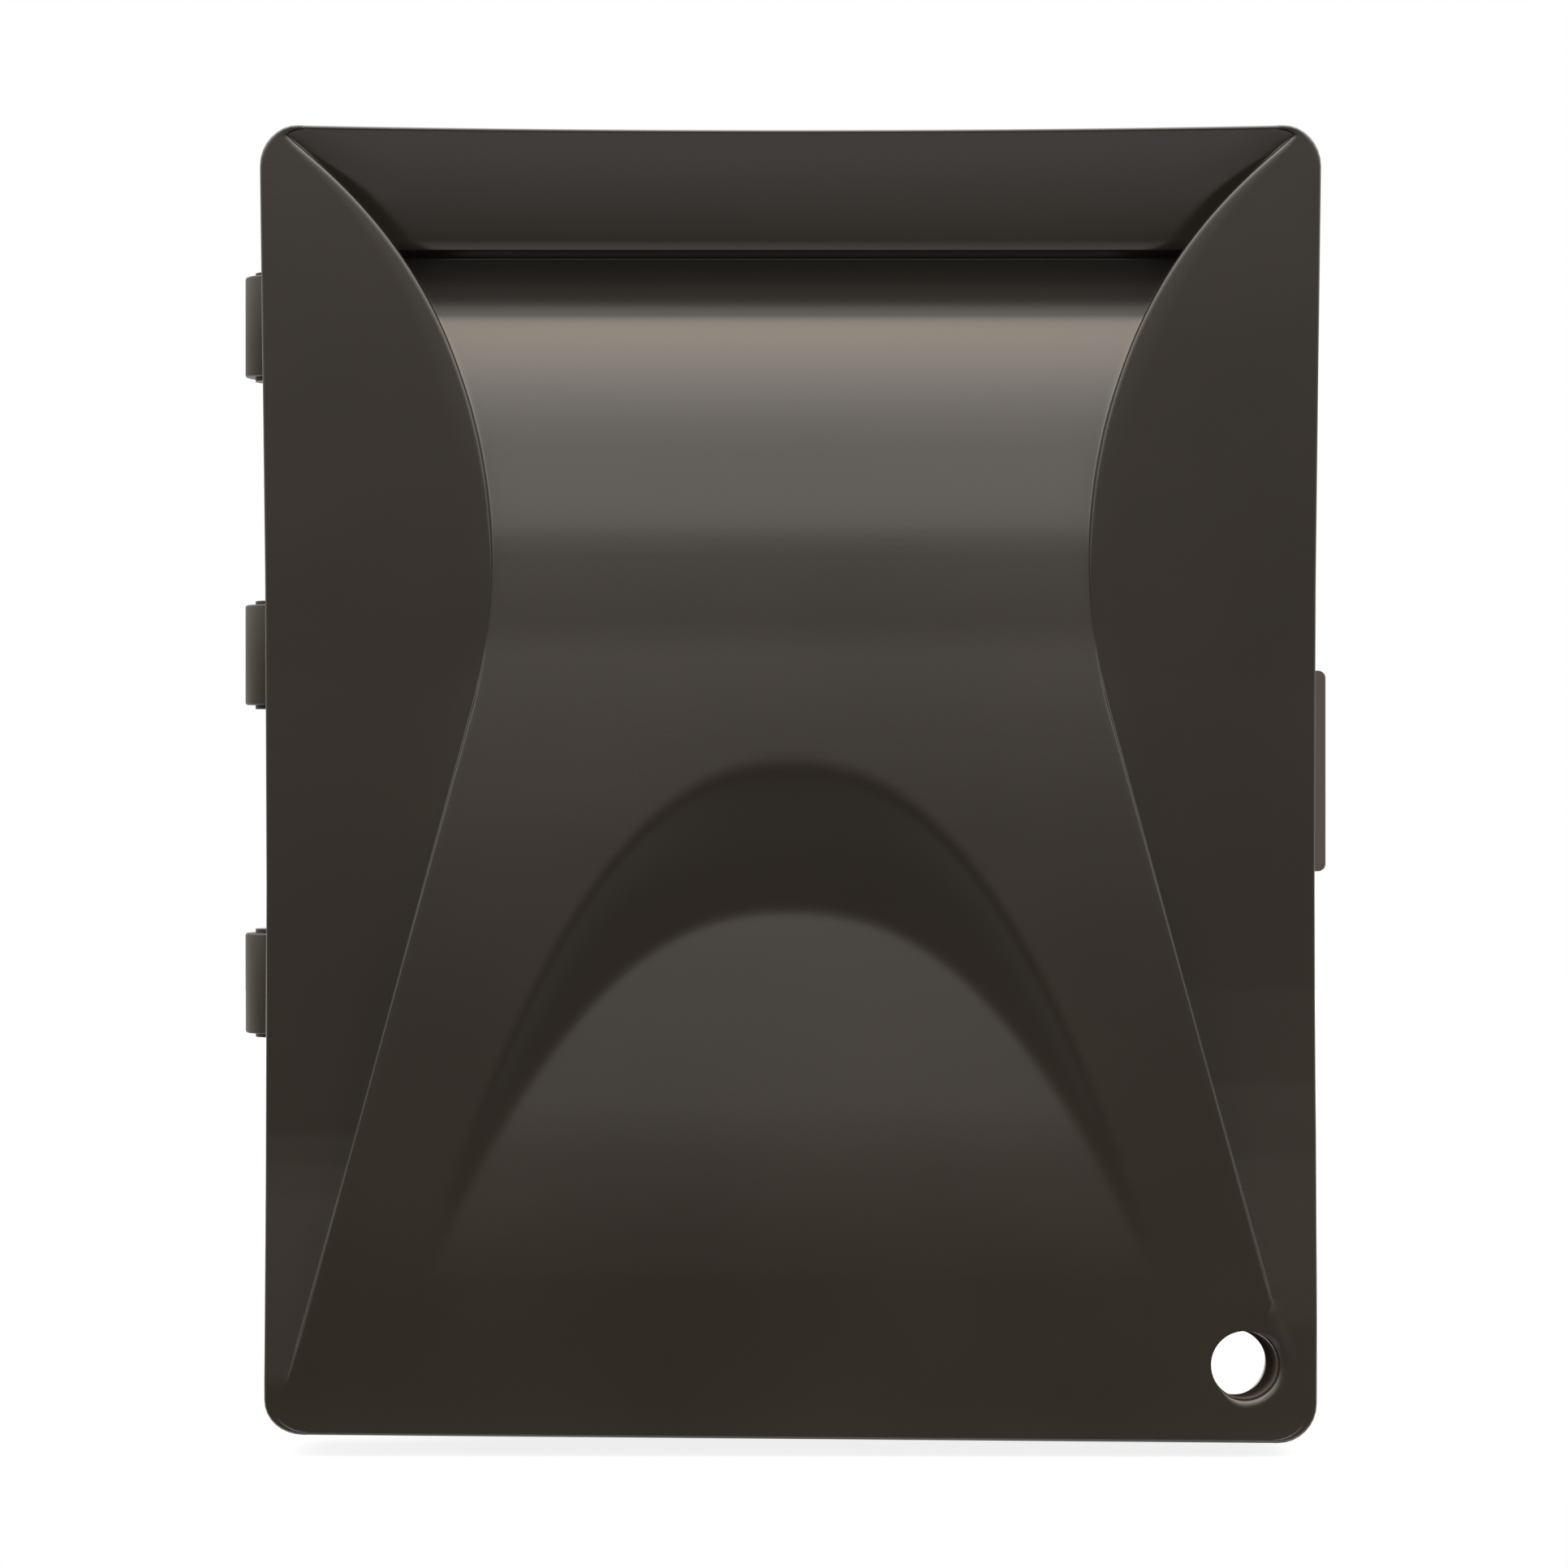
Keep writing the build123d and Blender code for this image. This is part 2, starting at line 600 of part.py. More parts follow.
def make_housing():
    """The moulded housing: two sides, a top, a customer side and a sloping floor."""
    half = HOUSING_W / 2
    shell = carried_across(housing_side(FLANGE_Y, HOUSING_BACK, HOUSING_TOP, 0), half)
    shell = fillet(shell.edges().filter_by(Axis.Z).group_by(Axis.Y)[-1], HOUSING_CORNER_R)
    shell = fillet(shell.faces().sort_by(Axis.Z)[-1].edges().group_by(Axis.Y)[1:], HOUSING_TOP_R)
    above = slope_block(-HALF_W, HALF_W, -2 * REACH, 3 * HOUSING_DEPTH, FLOOR_TOP, 3 * HOUSING_DEPTH)
    below = slope_block(-HALF_W, HALF_W, -2 * REACH, 3 * HOUSING_DEPTH, -HOUSING_DEPTH, FLOOR_RECESS)
    opening = slope_block(-HALF_W, HALF_W, PANEL_START, 3 * HOUSING_DEPTH, 0, FLOOR_TOP + 1)
    shell -= inner_room(FLANGE_Y - REACH, 0, HOUSING_TOP - HOUSING_WALL) & above
    shell -= inner_room(FLANGE_Y + HOUSING_WALL, 0, HOUSING_TOP) & below
    shell -= inner_room(FLANGE_Y + HOUSING_WALL, 0, HOUSING_TOP - REACH) & opening
    for side in (-1, 1):
        x0, x1 = sorted((side * (INNER_HALF + 1), side * (INNER_HALF - LEDGE_W)))
        shell += slope_block(x0, x1, PANEL_START - 1, panel_end() - 8, LEDGE_INSET, FLOOR_RECESS)
    return shell


def make_flange():
    """The frame that the cover shuts against, notched for the barrels and the keeper."""
    out = HOUSING_W / 2 + FLANGE_OUT
    height = FLANGE_TOP - FLANGE_BOTTOM_Z
    outline = rounded(2 * out, height, FLANGE_R, 0, (FLANGE_TOP + FLANGE_BOTTOM_Z) / 2)
    front, back = FLANGE_Y, FLANGE_Y + FLANGE_T
    frame = carried_back(outline, front, back)
    sill = slope_z(back, FLOOR_TOP) + SILL_LIP
    inner = HOUSING_W / 2 - FLANGE_LIP
    head = HOUSING_TOP - FLANGE_LIP
    window = rounded(2 * inner, head - sill, FLANGE_R, 0, (head + sill) / 2)
    frame -= carried_back(window, front - 1, back + 1)
    notch = BARREL_L / 2 + BUSH_FLANGE_T + SEAT_GAP
    for z in HINGE_ZS:
        frame -= block(-out - 1, -HOUSING_W / 2, front - 1, back + 1, z - notch, z + notch)
    tall = KEEPER_H / 2 + 1.0
    frame -= block(HOUSING_W / 2, out + 1, front - 1, back + 1, LATCH_Z - tall, LATCH_Z + tall)
    return frame


def make_housing_shell():
    """Housing and flange in one moulding, drilled for its fixings."""
    shell = make_housing() + make_flange()
    for place in column_screws_at():
        shell -= place * screw_hole(COLUMN_TOP_T + FLOOR_T - 0.6)
    for place in panel_screws_at():
        shell -= place * screw_hole(FLOOR_T + FLOOR_RECESS - 0.8)
    for place in bracket_screws_at():
        shell -= place * screw_hole(BRACKET_T + HOUSING_WALL - 0.6)
    for place in strip_screws_at():
        shell -= place * screw_hole(STRIP_T + HOUSING_WALL - 0.6)
    for place in latch_screws_at():
        shell -= place * screw_hole(LATCH_PLATE_T + HOUSING_WALL - 0.6)
    for place in lug_screws_at():
        shell -= place * screw_hole(LUG_T + FLANGE_T - 0.6)
    return shell


# ---- Mouth --------------------------------------------------------------------------------
def stadium(length, width):
    """A slot-shaped outline on the floor's slope."""
    return SlotOverall(length, width)


def bezel_screws_at():
    spots = []
    for side in (-1, 1):
        x = side * (MOUTH_W / 2 + BEZEL_W * 0.52)
        spots.append(SLOPE * Plane(origin=(x, MOUTH_ALONG, FLOOR_RECESS - BEZEL_T), z_dir=(0, 0, -1)))
    return spots


def make_mouth_panel():
    """The sloping plate with the oval mouth."""
    half = INNER_HALF - SEAT_GAP
    plate = slope_block(-half, half, PANEL_START + SEAT_GAP, panel_end(), FLOOR_RECESS, FLOOR_TOP)
    mouth = SLOPE * Pos(0, MOUTH_ALONG, -REACH) * extrude(stadium(MOUTH_W, MOUTH_L), 2 * REACH)
    plate -= mouth
    for place in panel_screws_at():
        plate -= place * screw_hole(FLOOR_T + 1)
    for place in bezel_screws_at():
        plate -= place * screw_hole(BEZEL_T + FLOOR_T - 0.6)
    corners = plate.edges().filter_by(OFF_SLOPE).group_by(Axis.Y)[-1]
    return fillet(corners, HOUSING_CORNER_R - HOUSING_WALL)


def make_mouth_bezel():
    """The raised lip round the mouth, under the panel."""
    outer = extrude(stadium(MOUTH_W + 2 * BEZEL_W, MOUTH_L + 2 * BEZEL_W), BEZEL_T)
    outer = fillet(outer.edges().group_by(Axis.Z)[0], BEZEL_T * 0.6)
    inner = Pos(0, 0, -1) * extrude(stadium(MOUTH_W, MOUTH_L), BEZEL_T + 2)
    ring = outer - inner
    ring = fillet(ring.edges().group_by(Axis.Z)[0], BEZEL_T * 0.25)
    ring = SLOPE * Pos(0, MOUTH_ALONG, FLOOR_RECESS - BEZEL_T) * ring
    for place in bezel_screws_at():
        ring -= place * screw_hole(BEZEL_T + 1)
    return ring


# ---- Pedestal and base ---------------------------------------------------------------------
def base_spans():
    """Front and back depth of the base."""
    return FLANGE_Y + BASE_SETBACK, HOUSING_BACK - BASE_FRONT_MARGIN


def base_slab(inset, z0, z1):
    """A slab of the base's outline, drawn in by inset."""
    y0, y1 = base_spans()
    outline = rounded(BASE_W - 2 * inset, y1 - y0 - 2 * inset, BASE_R - inset, 0, (y0 + y1) / 2)
    return Pos(0, 0, z0) * extrude(outline, z1 - z0)


def column_bar(inset):
    """The upright column, drawn in by inset and cut off under the floor."""
    y0 = FLANGE_Y + COLUMN_SETBACK
    width, deep = COLUMN_W - 2 * inset, COLUMN_D - 2 * inset
    outline = rounded(width, deep, COLUMN_R - inset, 0, y0 + COLUMN_D / 2)
    bar = Pos(0, 0, FOOT_H) * extrude(outline, HEEL_Z + COLUMN_D + REACH)
    low = FLOOR_RECESS - COLUMN_TOP_T * (inset > 0)
    cut = slope_block(-HALF_W, HALF_W, -REACH, HOUSING_DEPTH * 2, low, HALF_H)
    return bar - cut


def feet_at():
    y0, y1 = base_spans()
    x = BASE_W / 2 - FOOT_INSET
    return [(side * x, y) for side in (-1, 1) for y in (y0 + FOOT_INSET, y1 - FOOT_INSET)]


def base_screws_at():
    y0, y1 = base_spans()
    spots = []
    for side in (-1, 1):
        for y in (y0 + BASE_WALL + 5.0, y1 - BASE_WALL - 5.0):
            spots.append(seat(side * BASE_W * 0.24, y, FOOT_H, (0, 0, -1)))
    return spots


def make_pedestal():
    """The base and its column in one hollow moulding."""
    top = FOOT_H + BASE_T
    slab = base_slab(0, FOOT_H, top)
    slab = fillet(slab.edges().group_by(Axis.Z)[-1], BASE_WALL)
    hollow = base_slab(BASE_WALL, FOOT_H - 1, top - BASE_WALL)
    body = (slab + column_bar(0)) - hollow - column_bar(BASE_WALL)
    for place in base_screws_at():
        x, y = place.origin.X, place.origin.Y
        body += upright(x, y, FOOT_H + BOTTOM_T, top - BASE_WALL + 1, SCREW_R + 2.2)
        body -= upright(x, y, FOOT_H, FOOT_H + BASE_T - BASE_WALL, SCREW_R + SCREW_GAP)
    for place in column_screws_at():
        body -= place * screw_hole(COLUMN_TOP_T + FLOOR_T)
    return body


def make_bottom_plate():
    """The plate that closes the base."""
    plate = base_slab(BASE_WALL + SEAT_GAP, FOOT_H, FOOT_H + BOTTOM_T)
    for place in base_screws_at():
        plate -= place * screw_hole(BOTTOM_T)
    return plate


def make_ballast():
    """The steel plate that steadies the base."""
    low = FOOT_H + BOTTOM_T
    slab = base_slab(BASE_WALL + BALLAST_GAP, low, low + BALLAST_T)
    for place in base_screws_at():
        at = place.origin
        slab -= upright(at.X, at.Y, low - 1, low + BALLAST_T + 1, SCREW_R + 2.2 + SEAT_GAP)
    return slab


def make_feet():
    """Rubber feet."""
    feet = []
    for x, y in feet_at():
        foot = upright(x, y, 0, FOOT_H, FOOT_R)
        feet.append(fillet(foot.edges().group_by(Axis.Z)[0], FOOT_H * 0.3))
    return Part() + feet


# ---- Guide rods and follower ---------------------------------------------------------------
def make_guide_rods():
    """Two upright steel rods that the follower slides on."""
    (low, _), (_, high) = bracket_spans()
    return Part() + [upright(side * ROD_X, ROD_Y, low, high, ROD_R) for side in (-1, 1)]


def make_rod_brackets():
    """Blocks on the housing's sides that hold the guide rods."""
    blocks = []
    for a, b in bracket_spans():
        for side in (-1, 1):
            x0, x1 = sorted((side * INNER_HALF, side * (INNER_HALF - BRACKET_T)))
            piece = block(x0, x1, ROD_Y - BRACKET_D / 2, ROD_Y + BRACKET_D / 2, a, b)
            blocks.append(piece - upright(side * ROD_X, ROD_Y, a - 1, b + 1, ROD_R + FIT_GAP))
    brackets = Part() + blocks
    for place in bracket_screws_at():
        brackets -= place * screw_hole(BRACKET_T)
    return brackets


def pad_low():
    return FLOOR_TOP + SEAT_GAP


def plate_low():
    return pad_low() + PAD_T


def plate_top():
    return plate_low() + FOLLOWER_T


def weight_spot():
    """Middle of the follower along the slope."""
    return (FOLLOWER_START + FOLLOWER_END) / 2


def weight_screws_at():
    n = plate_top() + WEIGHT_T
    return [SLOPE * Plane(origin=(side * WEIGHT_W * 0.36, weight_spot(), n)) for side in (-1, 1)]


def make_follower_plate():
    """The pressure plate with a finger tab and an ear on each guide rod."""
    half = FOLLOWER_W / 2
    low, top = plate_low(), plate_top()
    plate = slope_block(-half, half, FOLLOWER_START, FOLLOWER_END, low, top)
    plate = fillet(plate.edges().filter_by(OFF_SLOPE), 6.0)
    tab_y, tab_z = slope_yz(FOLLOWER_START, top)
    tab = block(-TAB_W / 2, TAB_W / 2, tab_y, tab_y + FOLLOWER_T, tab_z - FOLLOWER_T, tab_z + TAB_H)
    tab = fillet(tab.edges().filter_by(Axis.Y).group_by(Axis.Z)[-1], 4.0)
    plate += tab
    ear_low = BRACKET_LOW_Z + BRACKET_H + SEAT_GAP
    bush_r = ROD_R + RUN_GAP + GUIDE_BUSH_WALL
    for side in (-1, 1):
        x0, x1 = sorted((side * (half - 4.0), side * (ROD_X + bush_r + 0.6)))
        plate += block(x0, x1, ROD_Y - EAR_D / 2, ROD_Y + EAR_D / 2, ear_low, ear_low + EAR_H)
        r0, r1 = sorted((side * (half - 4.0), side * half))
        riser = block(r0, r1, ROD_Y - EAR_D / 2, ROD_Y + EAR_D / 2, ear_low - REACH, ear_low + EAR_H)
        plate += riser - slope_block(-HALF_W, HALF_W, -REACH, HOUSING_DEPTH * 2, -REACH, low)
    for side in (-1, 1):
        plate -= upright(side * ROD_X, ROD_Y, ear_low - 1, ear_low + EAR_H + 1, bush_r + FIT_GAP)
    for place in weight_screws_at():
        plate -= place * screw_hole(WEIGHT_T + FOLLOWER_T + 1)
    return plate


def make_follower_bushes():
    """Nylon bushes that run on the guide rods."""
    bore = ROD_R + RUN_GAP
    low = BRACKET_LOW_Z + BRACKET_H + SEAT_GAP
    bushes = []
    for side in (-1, 1):
        tube = upright(side * ROD_X, ROD_Y, low, low + EAR_H, bore + GUIDE_BUSH_WALL)
        bushes.append(tube - upright(side * ROD_X, ROD_Y, low - 1, low + EAR_H + 1, bore))
    return Part() + bushes


def make_follower_pad():
    """The soft pad under the follower plate."""
    half = FOLLOWER_W / 2 - 5.0
    pad = slope_block(-half, half, FOLLOWER_START + 5, FOLLOWER_END - 5, pad_low(), plate_low())
    return fillet(pad.edges().filter_by(OFF_SLOPE), 4.0)


def make_follower_weight():
    """The steel weight on the follower plate."""
    s = weight_spot()
    n = plate_top()
    bar = slope_block(-WEIGHT_W / 2, WEIGHT_W / 2, s - WEIGHT_L / 2, s + WEIGHT_L / 2, n, n + WEIGHT_T)
    bar = fillet(bar.edges().filter_by(OFF_SLOPE), 4.0)
    for place in weight_screws_at():
        bar -= place * screw_hole(WEIGHT_T)
    return bar


# ---- Latch ------------------------------------------------------------------------------------
def make_latch_bracket():
    """The bracket on the housing's side that carries the lever's pin."""
    wall = HOUSING_W / 2
    half = LEVER_H / 2 + 8.0
    y0 = KEEPER_BACK + SEAT_GAP
    y1 = PIVOT_BACK + LEVER_D / 2 + 1
    plate = block(wall, wall + LATCH_PLATE_T, y0, y1, LATCH_Z - half, LATCH_Z + half)
    for side in (-1, 1):
        z0, z1 = sorted((LATCH_Z + side * (LEVER_BARREL_H / 2 + SEAT_GAP),
                         LATCH_Z + side * (LEVER_BARREL_H / 2 + SEAT_GAP + EAR_T)))
        plate += upright(PIVOT_X, PIVOT_BACK, z0, z1, PIVOT_R)
        plate += block(wall, PIVOT_X, PIVOT_BACK - PIVOT_R, PIVOT_BACK + PIVOT_R, z0, z1)
    plate -= upright(PIVOT_X, PIVOT_BACK, LATCH_Z - half, LATCH_Z + half, LATCH_PIN_R + FIT_GAP)
    for place in latch_screws_at():
        plate -= place * screw_hole(LATCH_PLATE_T)
    return plate


def make_latch_lever():
    """The rocking lever: its tooth holds the keeper, and its rear is pressed to release."""
    y0 = COVER_DEPTH + LEVER_FRONT
    low, high = LATCH_Z - LEVER_H / 2, LATCH_Z + LEVER_H / 2
    plate = block(LEVER_X - LEVER_T, LEVER_X, y0, y0 + LEVER_D, low, high)
    plate = fillet(plate.edges().filter_by(Axis.Y).group_by(Axis.X)[-1], LEVER_R)
    low, high = LATCH_Z - LEVER_BARREL_H / 2, LATCH_Z + LEVER_BARREL_H / 2
    plate += upright(PIVOT_X, PIVOT_BACK, low, high, PIVOT_R)
    plate += block(PIVOT_X, LEVER_X - LEVER_T, PIVOT_BACK - PIVOT_R, PIVOT_BACK + PIVOT_R, low, high)
    tooth = block(HALF_W - TOOTH_TIP_IN, LEVER_X - LEVER_T, TOOTH_FRONT, TOOTH_FRONT + TOOTH_D,
                  LATCH_Z - TOOTH_H / 2, LATCH_Z + TOOTH_H / 2)
    lead = tooth.edges().filter_by(Axis.Z).group_by(Axis.X)[0].sort_by(Axis.Y)[0]
    plate += chamfer(lead, 1.2, 1.6)
    plate -= upright(PIVOT_X, PIVOT_BACK, low - 1, high + 1, LATCH_PIN_R + RUN_GAP)
    return plate


def make_latch_pin():
    """The steel pin of the lever."""
    half = LEVER_BARREL_H / 2 + SEAT_GAP + EAR_T + 0.6
    return upright(PIVOT_X, PIVOT_BACK, LATCH_Z - half, LATCH_Z + half, LATCH_PIN_R)


def make_latch_spring():
    """The small coil spring behind the lever's rear end."""
    x0 = HOUSING_W / 2 + LATCH_PLATE_T + SPRING_WIRE_R + 0.05
    x1 = LEVER_X - LEVER_T - SPRING_WIRE_R - 0.05
    pitch = (x1 - x0) / SPRING_TURNS
    print("latch spring: least gap between turns", round(pitch - 2 * SPRING_WIRE_R, 3))
    path = Helix(pitch, x1 - x0, SPRING_R)
    start = Plane(origin=path @ 0, z_dir=path % 0)
    coil = sweep(start * Circle(SPRING_WIRE_R), path=path)
    return Pos(x0, SPRING_BACK, LATCH_Z) * Rot(0, 90, 0) * coil


# ---- Padlock lug --------------------------------------------------------------------------------
def make_lug():
    """The hasp lug behind the padlock hole, screwed to the flange."""
    y0 = FLANGE_Y + FLANGE_T
    front = skirt_depth(HALF_H - HOLE_FROM_BOTTOM)
    drop = (y0 + LUG_T / 2 - front) * tan(radians(HOLE_RAKE))
    centre_z = HOLE_Z - drop
    low = centre_z - LUG_HOLE_R - LUG_FOOT
    high = FLANGE_BOTTOM_Z + LUG_LAP
    plate = carried_back(rounded(LUG_W + 2.0, high - low, 5.0, HOLE_X, (high + low) / 2), y0, y0 + LUG_T)
    hole = carried_back(Pos(HOLE_X, centre_z) * Circle(LUG_HOLE_R), y0 - 1, y0 + LUG_T + 1)
    plate -= hole
    for place in lug_screws_at():
        plate -= place * screw_hole(LUG_T)
    return plate


# ---- All pieces -----------------------------------------------------------------------------------
def pieces():
    """Every piece by name."""
    return {
        "cover": make_cover(),
        "hinge_bushes": make_hinge_bushes(),
        "lock_ferrule": make_ferrule(),
        "latch_keeper": make_keeper(),
        "keeper_screws": screws(keeper_screws_at(), KEEPER_T + COVER_WALL - 0.8),
        "housing_shell": make_housing_shell(),
        "hinge_strip": make_hinge_strip(),
        "hinge_strip_screws": screws(strip_screws_at(), STRIP_T + HOUSING_WALL - 0.6),
        "hinge_rod": make_hinge_rod(),
        "mouth_panel": make_mouth_panel(),
        "mouth_panel_screws": screws(panel_screws_at(), FLOOR_T + FLOOR_RECESS - 0.8),
        "mouth_bezel": make_mouth_bezel(),
        "bezel_screws": screws(bezel_screws_at(), BEZEL_T + FLOOR_T - 0.6),
        "pedestal": make_pedestal(),
        "pedestal_screws": screws(column_screws_at(), COLUMN_TOP_T + FLOOR_T - 0.6),
        "bottom_plate": make_bottom_plate(),
        "bottom_screws": screws(base_screws_at(), BASE_T - BASE_WALL - 1),
        "ballast": make_ballast(),
        "feet": make_feet(),
        "guide_rods": make_guide_rods(),
        "rod_brackets": make_rod_brackets(),
        "bracket_screws": screws(bracket_screws_at(), BRACKET_T + HOUSING_WALL - 0.6),
        "follower_plate": make_follower_plate(),
        "follower_pad": make_follower_pad(),
        "follower_bushes": make_follower_bushes(),
        "follower_weight": make_follower_weight(),
        "weight_screws": screws(weight_screws_at(), WEIGHT_T + FOLLOWER_T - 0.2),
        "latch_bracket": make_latch_bracket(),
        "latch_bracket_screws": screws(latch_screws_at(), LATCH_PLATE_T + HOUSING_WALL - 0.6),
        "latch_lever": make_latch_lever(),
        "latch_pin": make_latch_pin(),
        "latch_spring": make_latch_spring(),
        "hasp_lug": make_lug(),
        "hasp_screws": screws(lug_screws_at(), LUG_T + FLANGE_T - 0.6),
    }


def origin_shift():
    """Moves the middle of the whole dispenser over the origin."""
    left = -HINGE_X + BARREL_R
    front = SKIRT_PROUD
    return Pos((left - LEVER_X) / 2, (front - HOUSING_BACK) / 2, 0)


os.makedirs("parts", exist_ok=True)
for name, solid in pieces().items():
    export_step(origin_shift() * solid, "parts/" + name + ".step")
    print(name, round(solid.volume), "mm3")
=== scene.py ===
import math

import bpy
import numpy as np
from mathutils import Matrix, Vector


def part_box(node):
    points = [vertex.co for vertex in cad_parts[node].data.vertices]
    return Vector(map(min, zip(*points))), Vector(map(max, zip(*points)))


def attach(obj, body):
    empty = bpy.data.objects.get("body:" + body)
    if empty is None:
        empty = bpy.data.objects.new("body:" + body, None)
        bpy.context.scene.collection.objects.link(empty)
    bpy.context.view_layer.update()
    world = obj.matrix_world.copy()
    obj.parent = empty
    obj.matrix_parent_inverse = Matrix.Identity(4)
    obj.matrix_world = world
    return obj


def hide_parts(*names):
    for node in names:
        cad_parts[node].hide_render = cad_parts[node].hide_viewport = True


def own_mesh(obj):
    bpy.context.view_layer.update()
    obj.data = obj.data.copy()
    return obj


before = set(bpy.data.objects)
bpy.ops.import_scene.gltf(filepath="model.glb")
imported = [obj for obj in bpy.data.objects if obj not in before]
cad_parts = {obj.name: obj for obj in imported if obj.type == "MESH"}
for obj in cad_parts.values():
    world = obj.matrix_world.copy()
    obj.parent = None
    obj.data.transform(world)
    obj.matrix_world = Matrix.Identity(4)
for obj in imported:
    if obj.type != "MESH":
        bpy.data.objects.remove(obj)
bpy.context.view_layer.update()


# ---- The view -------------------------------------------------------------------------------
# The camera looks straight at the cover from three quarters of a metre, level with the
# cover's middle. Pieces are laid out in millimetres: x from the cover's centreline, depth
# behind its flat cheeks and z from its middle; place() turns these into frame metres.
COVER_CENTRE_X, CHEEK_Y, COVER_MIDDLE_Z = 1.25, -66.75, 130.0
VIEW_X, VIEW_DISTANCE = -1.26, 740.0
FOCAL_PIXELS, PICTURE_PIXELS = 4700.0, 1932.0
SENSOR_WIDTH = 36.0


def place(x, depth, z):
    """Frame metres of a point given in the cover's own millimetres."""
    x, depth, z = np.broadcast_arrays(x, depth, z)
    return np.stack([x + COVER_CENTRE_X, depth + CHEEK_Y, z + COVER_MIDDLE_Z], axis=-1) * 0.001


camera_data = bpy.data.cameras.new("camera")
camera_data.sensor_width = SENSOR_WIDTH
camera_data.sensor_fit = "HORIZONTAL"
camera_data.lens = SENSOR_WIDTH * FOCAL_PIXELS / PICTURE_PIXELS
camera = bpy.data.objects.new("camera", camera_data)
camera.location = place(VIEW_X, -VIEW_DISTANCE, 0.0)
camera.rotation_euler = (math.radians(90.0), 0.0, 0.0)
bpy.context.scene.collection.objects.link(camera)
bpy.context.scene.camera = camera
bpy.context.scene.view_settings.view_transform = "Standard"


# ---- The moulded cover ----------------------------------------------------------------------
# One injection moulding in dark satin plastic: flat cheeks at both sides, and between them
# an hourglass panel that dips under the top band, swells into a hood and runs down as a skirt
# that stands proud of the cheeks and is hollowed out under an arch.
COVER_HALF_W, COVER_HALF_H = 101.6, 127.0
CORNER_R = 7.5
STRAIGHT_Z = COVER_HALF_H - CORNER_R
RIM_R = 0.7
REAR_RIM = 18.0
SHELL = 2.5
HOLE_X, HOLE_Z, HOLE_DEPTH = 87.6, -112.0, -4.62
BORE_R, MOUTH_R, SEAT_R = 6.5, 8.2, 8.05
HOOD_FOOT_Z, BAND_LIP_Z = 28.0, 104.9

# The arch: its crown, the crown of the hollow's lip, and the feet that both end in.
ARCH_Z, LIP_Z, FEET_Z = 3.3, -24.4, -98.0
ARCH_HALF = 71.5
ARCH_POWER = 2.3
LIP_DEPTH, FEET_DEPTH = 3.0, -4.8
HOLLOW_LEAN = 0.145


def arc_through(start, end, sag, count):
    """Points of the circle arc from start to end that bows by sag, as two arrays."""
    start, end = np.array(start), np.array(end)
    chord = end - start
    length = np.hypot(*chord)
    along = chord / length
    across = np.array([along[1], -along[0]])
    radius = (length * length / 4 + sag * sag) / (2 * abs(sag))
    half = np.arcsin(length / 2 / radius)
    turn = np.linspace(-half, half, count)
    bow = np.sign(sag) * radius * (np.cos(turn) - np.cos(half))
    points = (start + end) / 2 + np.outer(radius * np.sin(turn), along) + np.outer(bow, across)
    return points[:, 0], points[:, 1]


# The side profile down the centreline: the band is a shallow arc, the hood follows the slopes
# below, and the skirt is a second arc. Each slope is a height, from the skirt up to the
# band's lip, and the degrees by which the surface faces above level there.
HOOD_FACES = [(28.0, 3.4), (34.0, 3.5), (38.0, 4.0), (42.0, 4.2), (45.0, 4.5), (47.5, 6.0),
              (50.0, 8.2), (52.0, 9.2), (60.0, 12.4), (70.0, 16.7), (80.0, 21.0), (88.0, 24.3),
              (90.8, 24.0), (92.1, 20.5), (92.7, 16.0), (93.4, 8.0), (94.7, 4.5), (95.9, -1.0),
              (97.2, -2.0), (98.5, -3.6), (100.0, -8.0), (101.5, -10.5), (103.0, -12.0),
              (103.8, -14.0), (103.95, -76.0), (104.1, -80.0), (104.6, -80.0), (104.75, -60.0),
              (104.9, -16.0)]
band = arc_through((0.0, COVER_HALF_H), (9.0, 104.7), -0.63, 60)
above_lip = band[1] > BAND_LIP_Z + 0.05
band = band[0][above_lip], band[1][above_lip]
hood_z = np.linspace(HOOD_FOOT_Z, BAND_LIP_Z, 1600)
hood_rise = np.tan(np.radians(np.interp(hood_z, *zip(*HOOD_FACES))))
hood_steps = (hood_rise[1:] + hood_rise[:-1]) / 2 * np.diff(hood_z)
hood_depth = np.concatenate([[0.0], np.cumsum(hood_steps)])
band_lip_depth = np.interp(-BAND_LIP_Z, -band[1], band[0]) + 0.014
hood_depth += (band_lip_depth - hood_depth[-1]) * np.clip((hood_z - 104.1) / 0.6, 0.0, 1.0)
skirt = arc_through((0.0, HOOD_FOOT_Z), (FEET_DEPTH, -90.0), 1.5, 60)
PROFILE_DEPTH = np.concatenate([band[0], hood_depth[::-1], skirt[0][1:], [-4.5]])
PROFILE_Z = np.concatenate([band[1], hood_z[::-1], skirt[1][1:], [-COVER_HALF_H]])

# The panel inside the lip leans back less and less on its way down to the feet.
PANEL_Z = np.linspace(LIP_Z, FEET_Z, 150)
panel_lean = np.interp(-PANEL_Z, [-LIP_Z, 62.0, -FEET_Z], [8.0, 7.4, 0.3])
panel_fall = np.concatenate([[0.0], np.cumsum(np.tan(np.radians(panel_lean[1:])))])
PANEL_DEPTH = LIP_DEPTH + panel_fall * (FEET_DEPTH - LIP_DEPTH) / panel_fall[-1]


def centre_depth(z):
    """Depth of the centre panel at a height: the side profile read off by height."""
    return np.interp(-z, -PROFILE_Z, PROFILE_DEPTH)


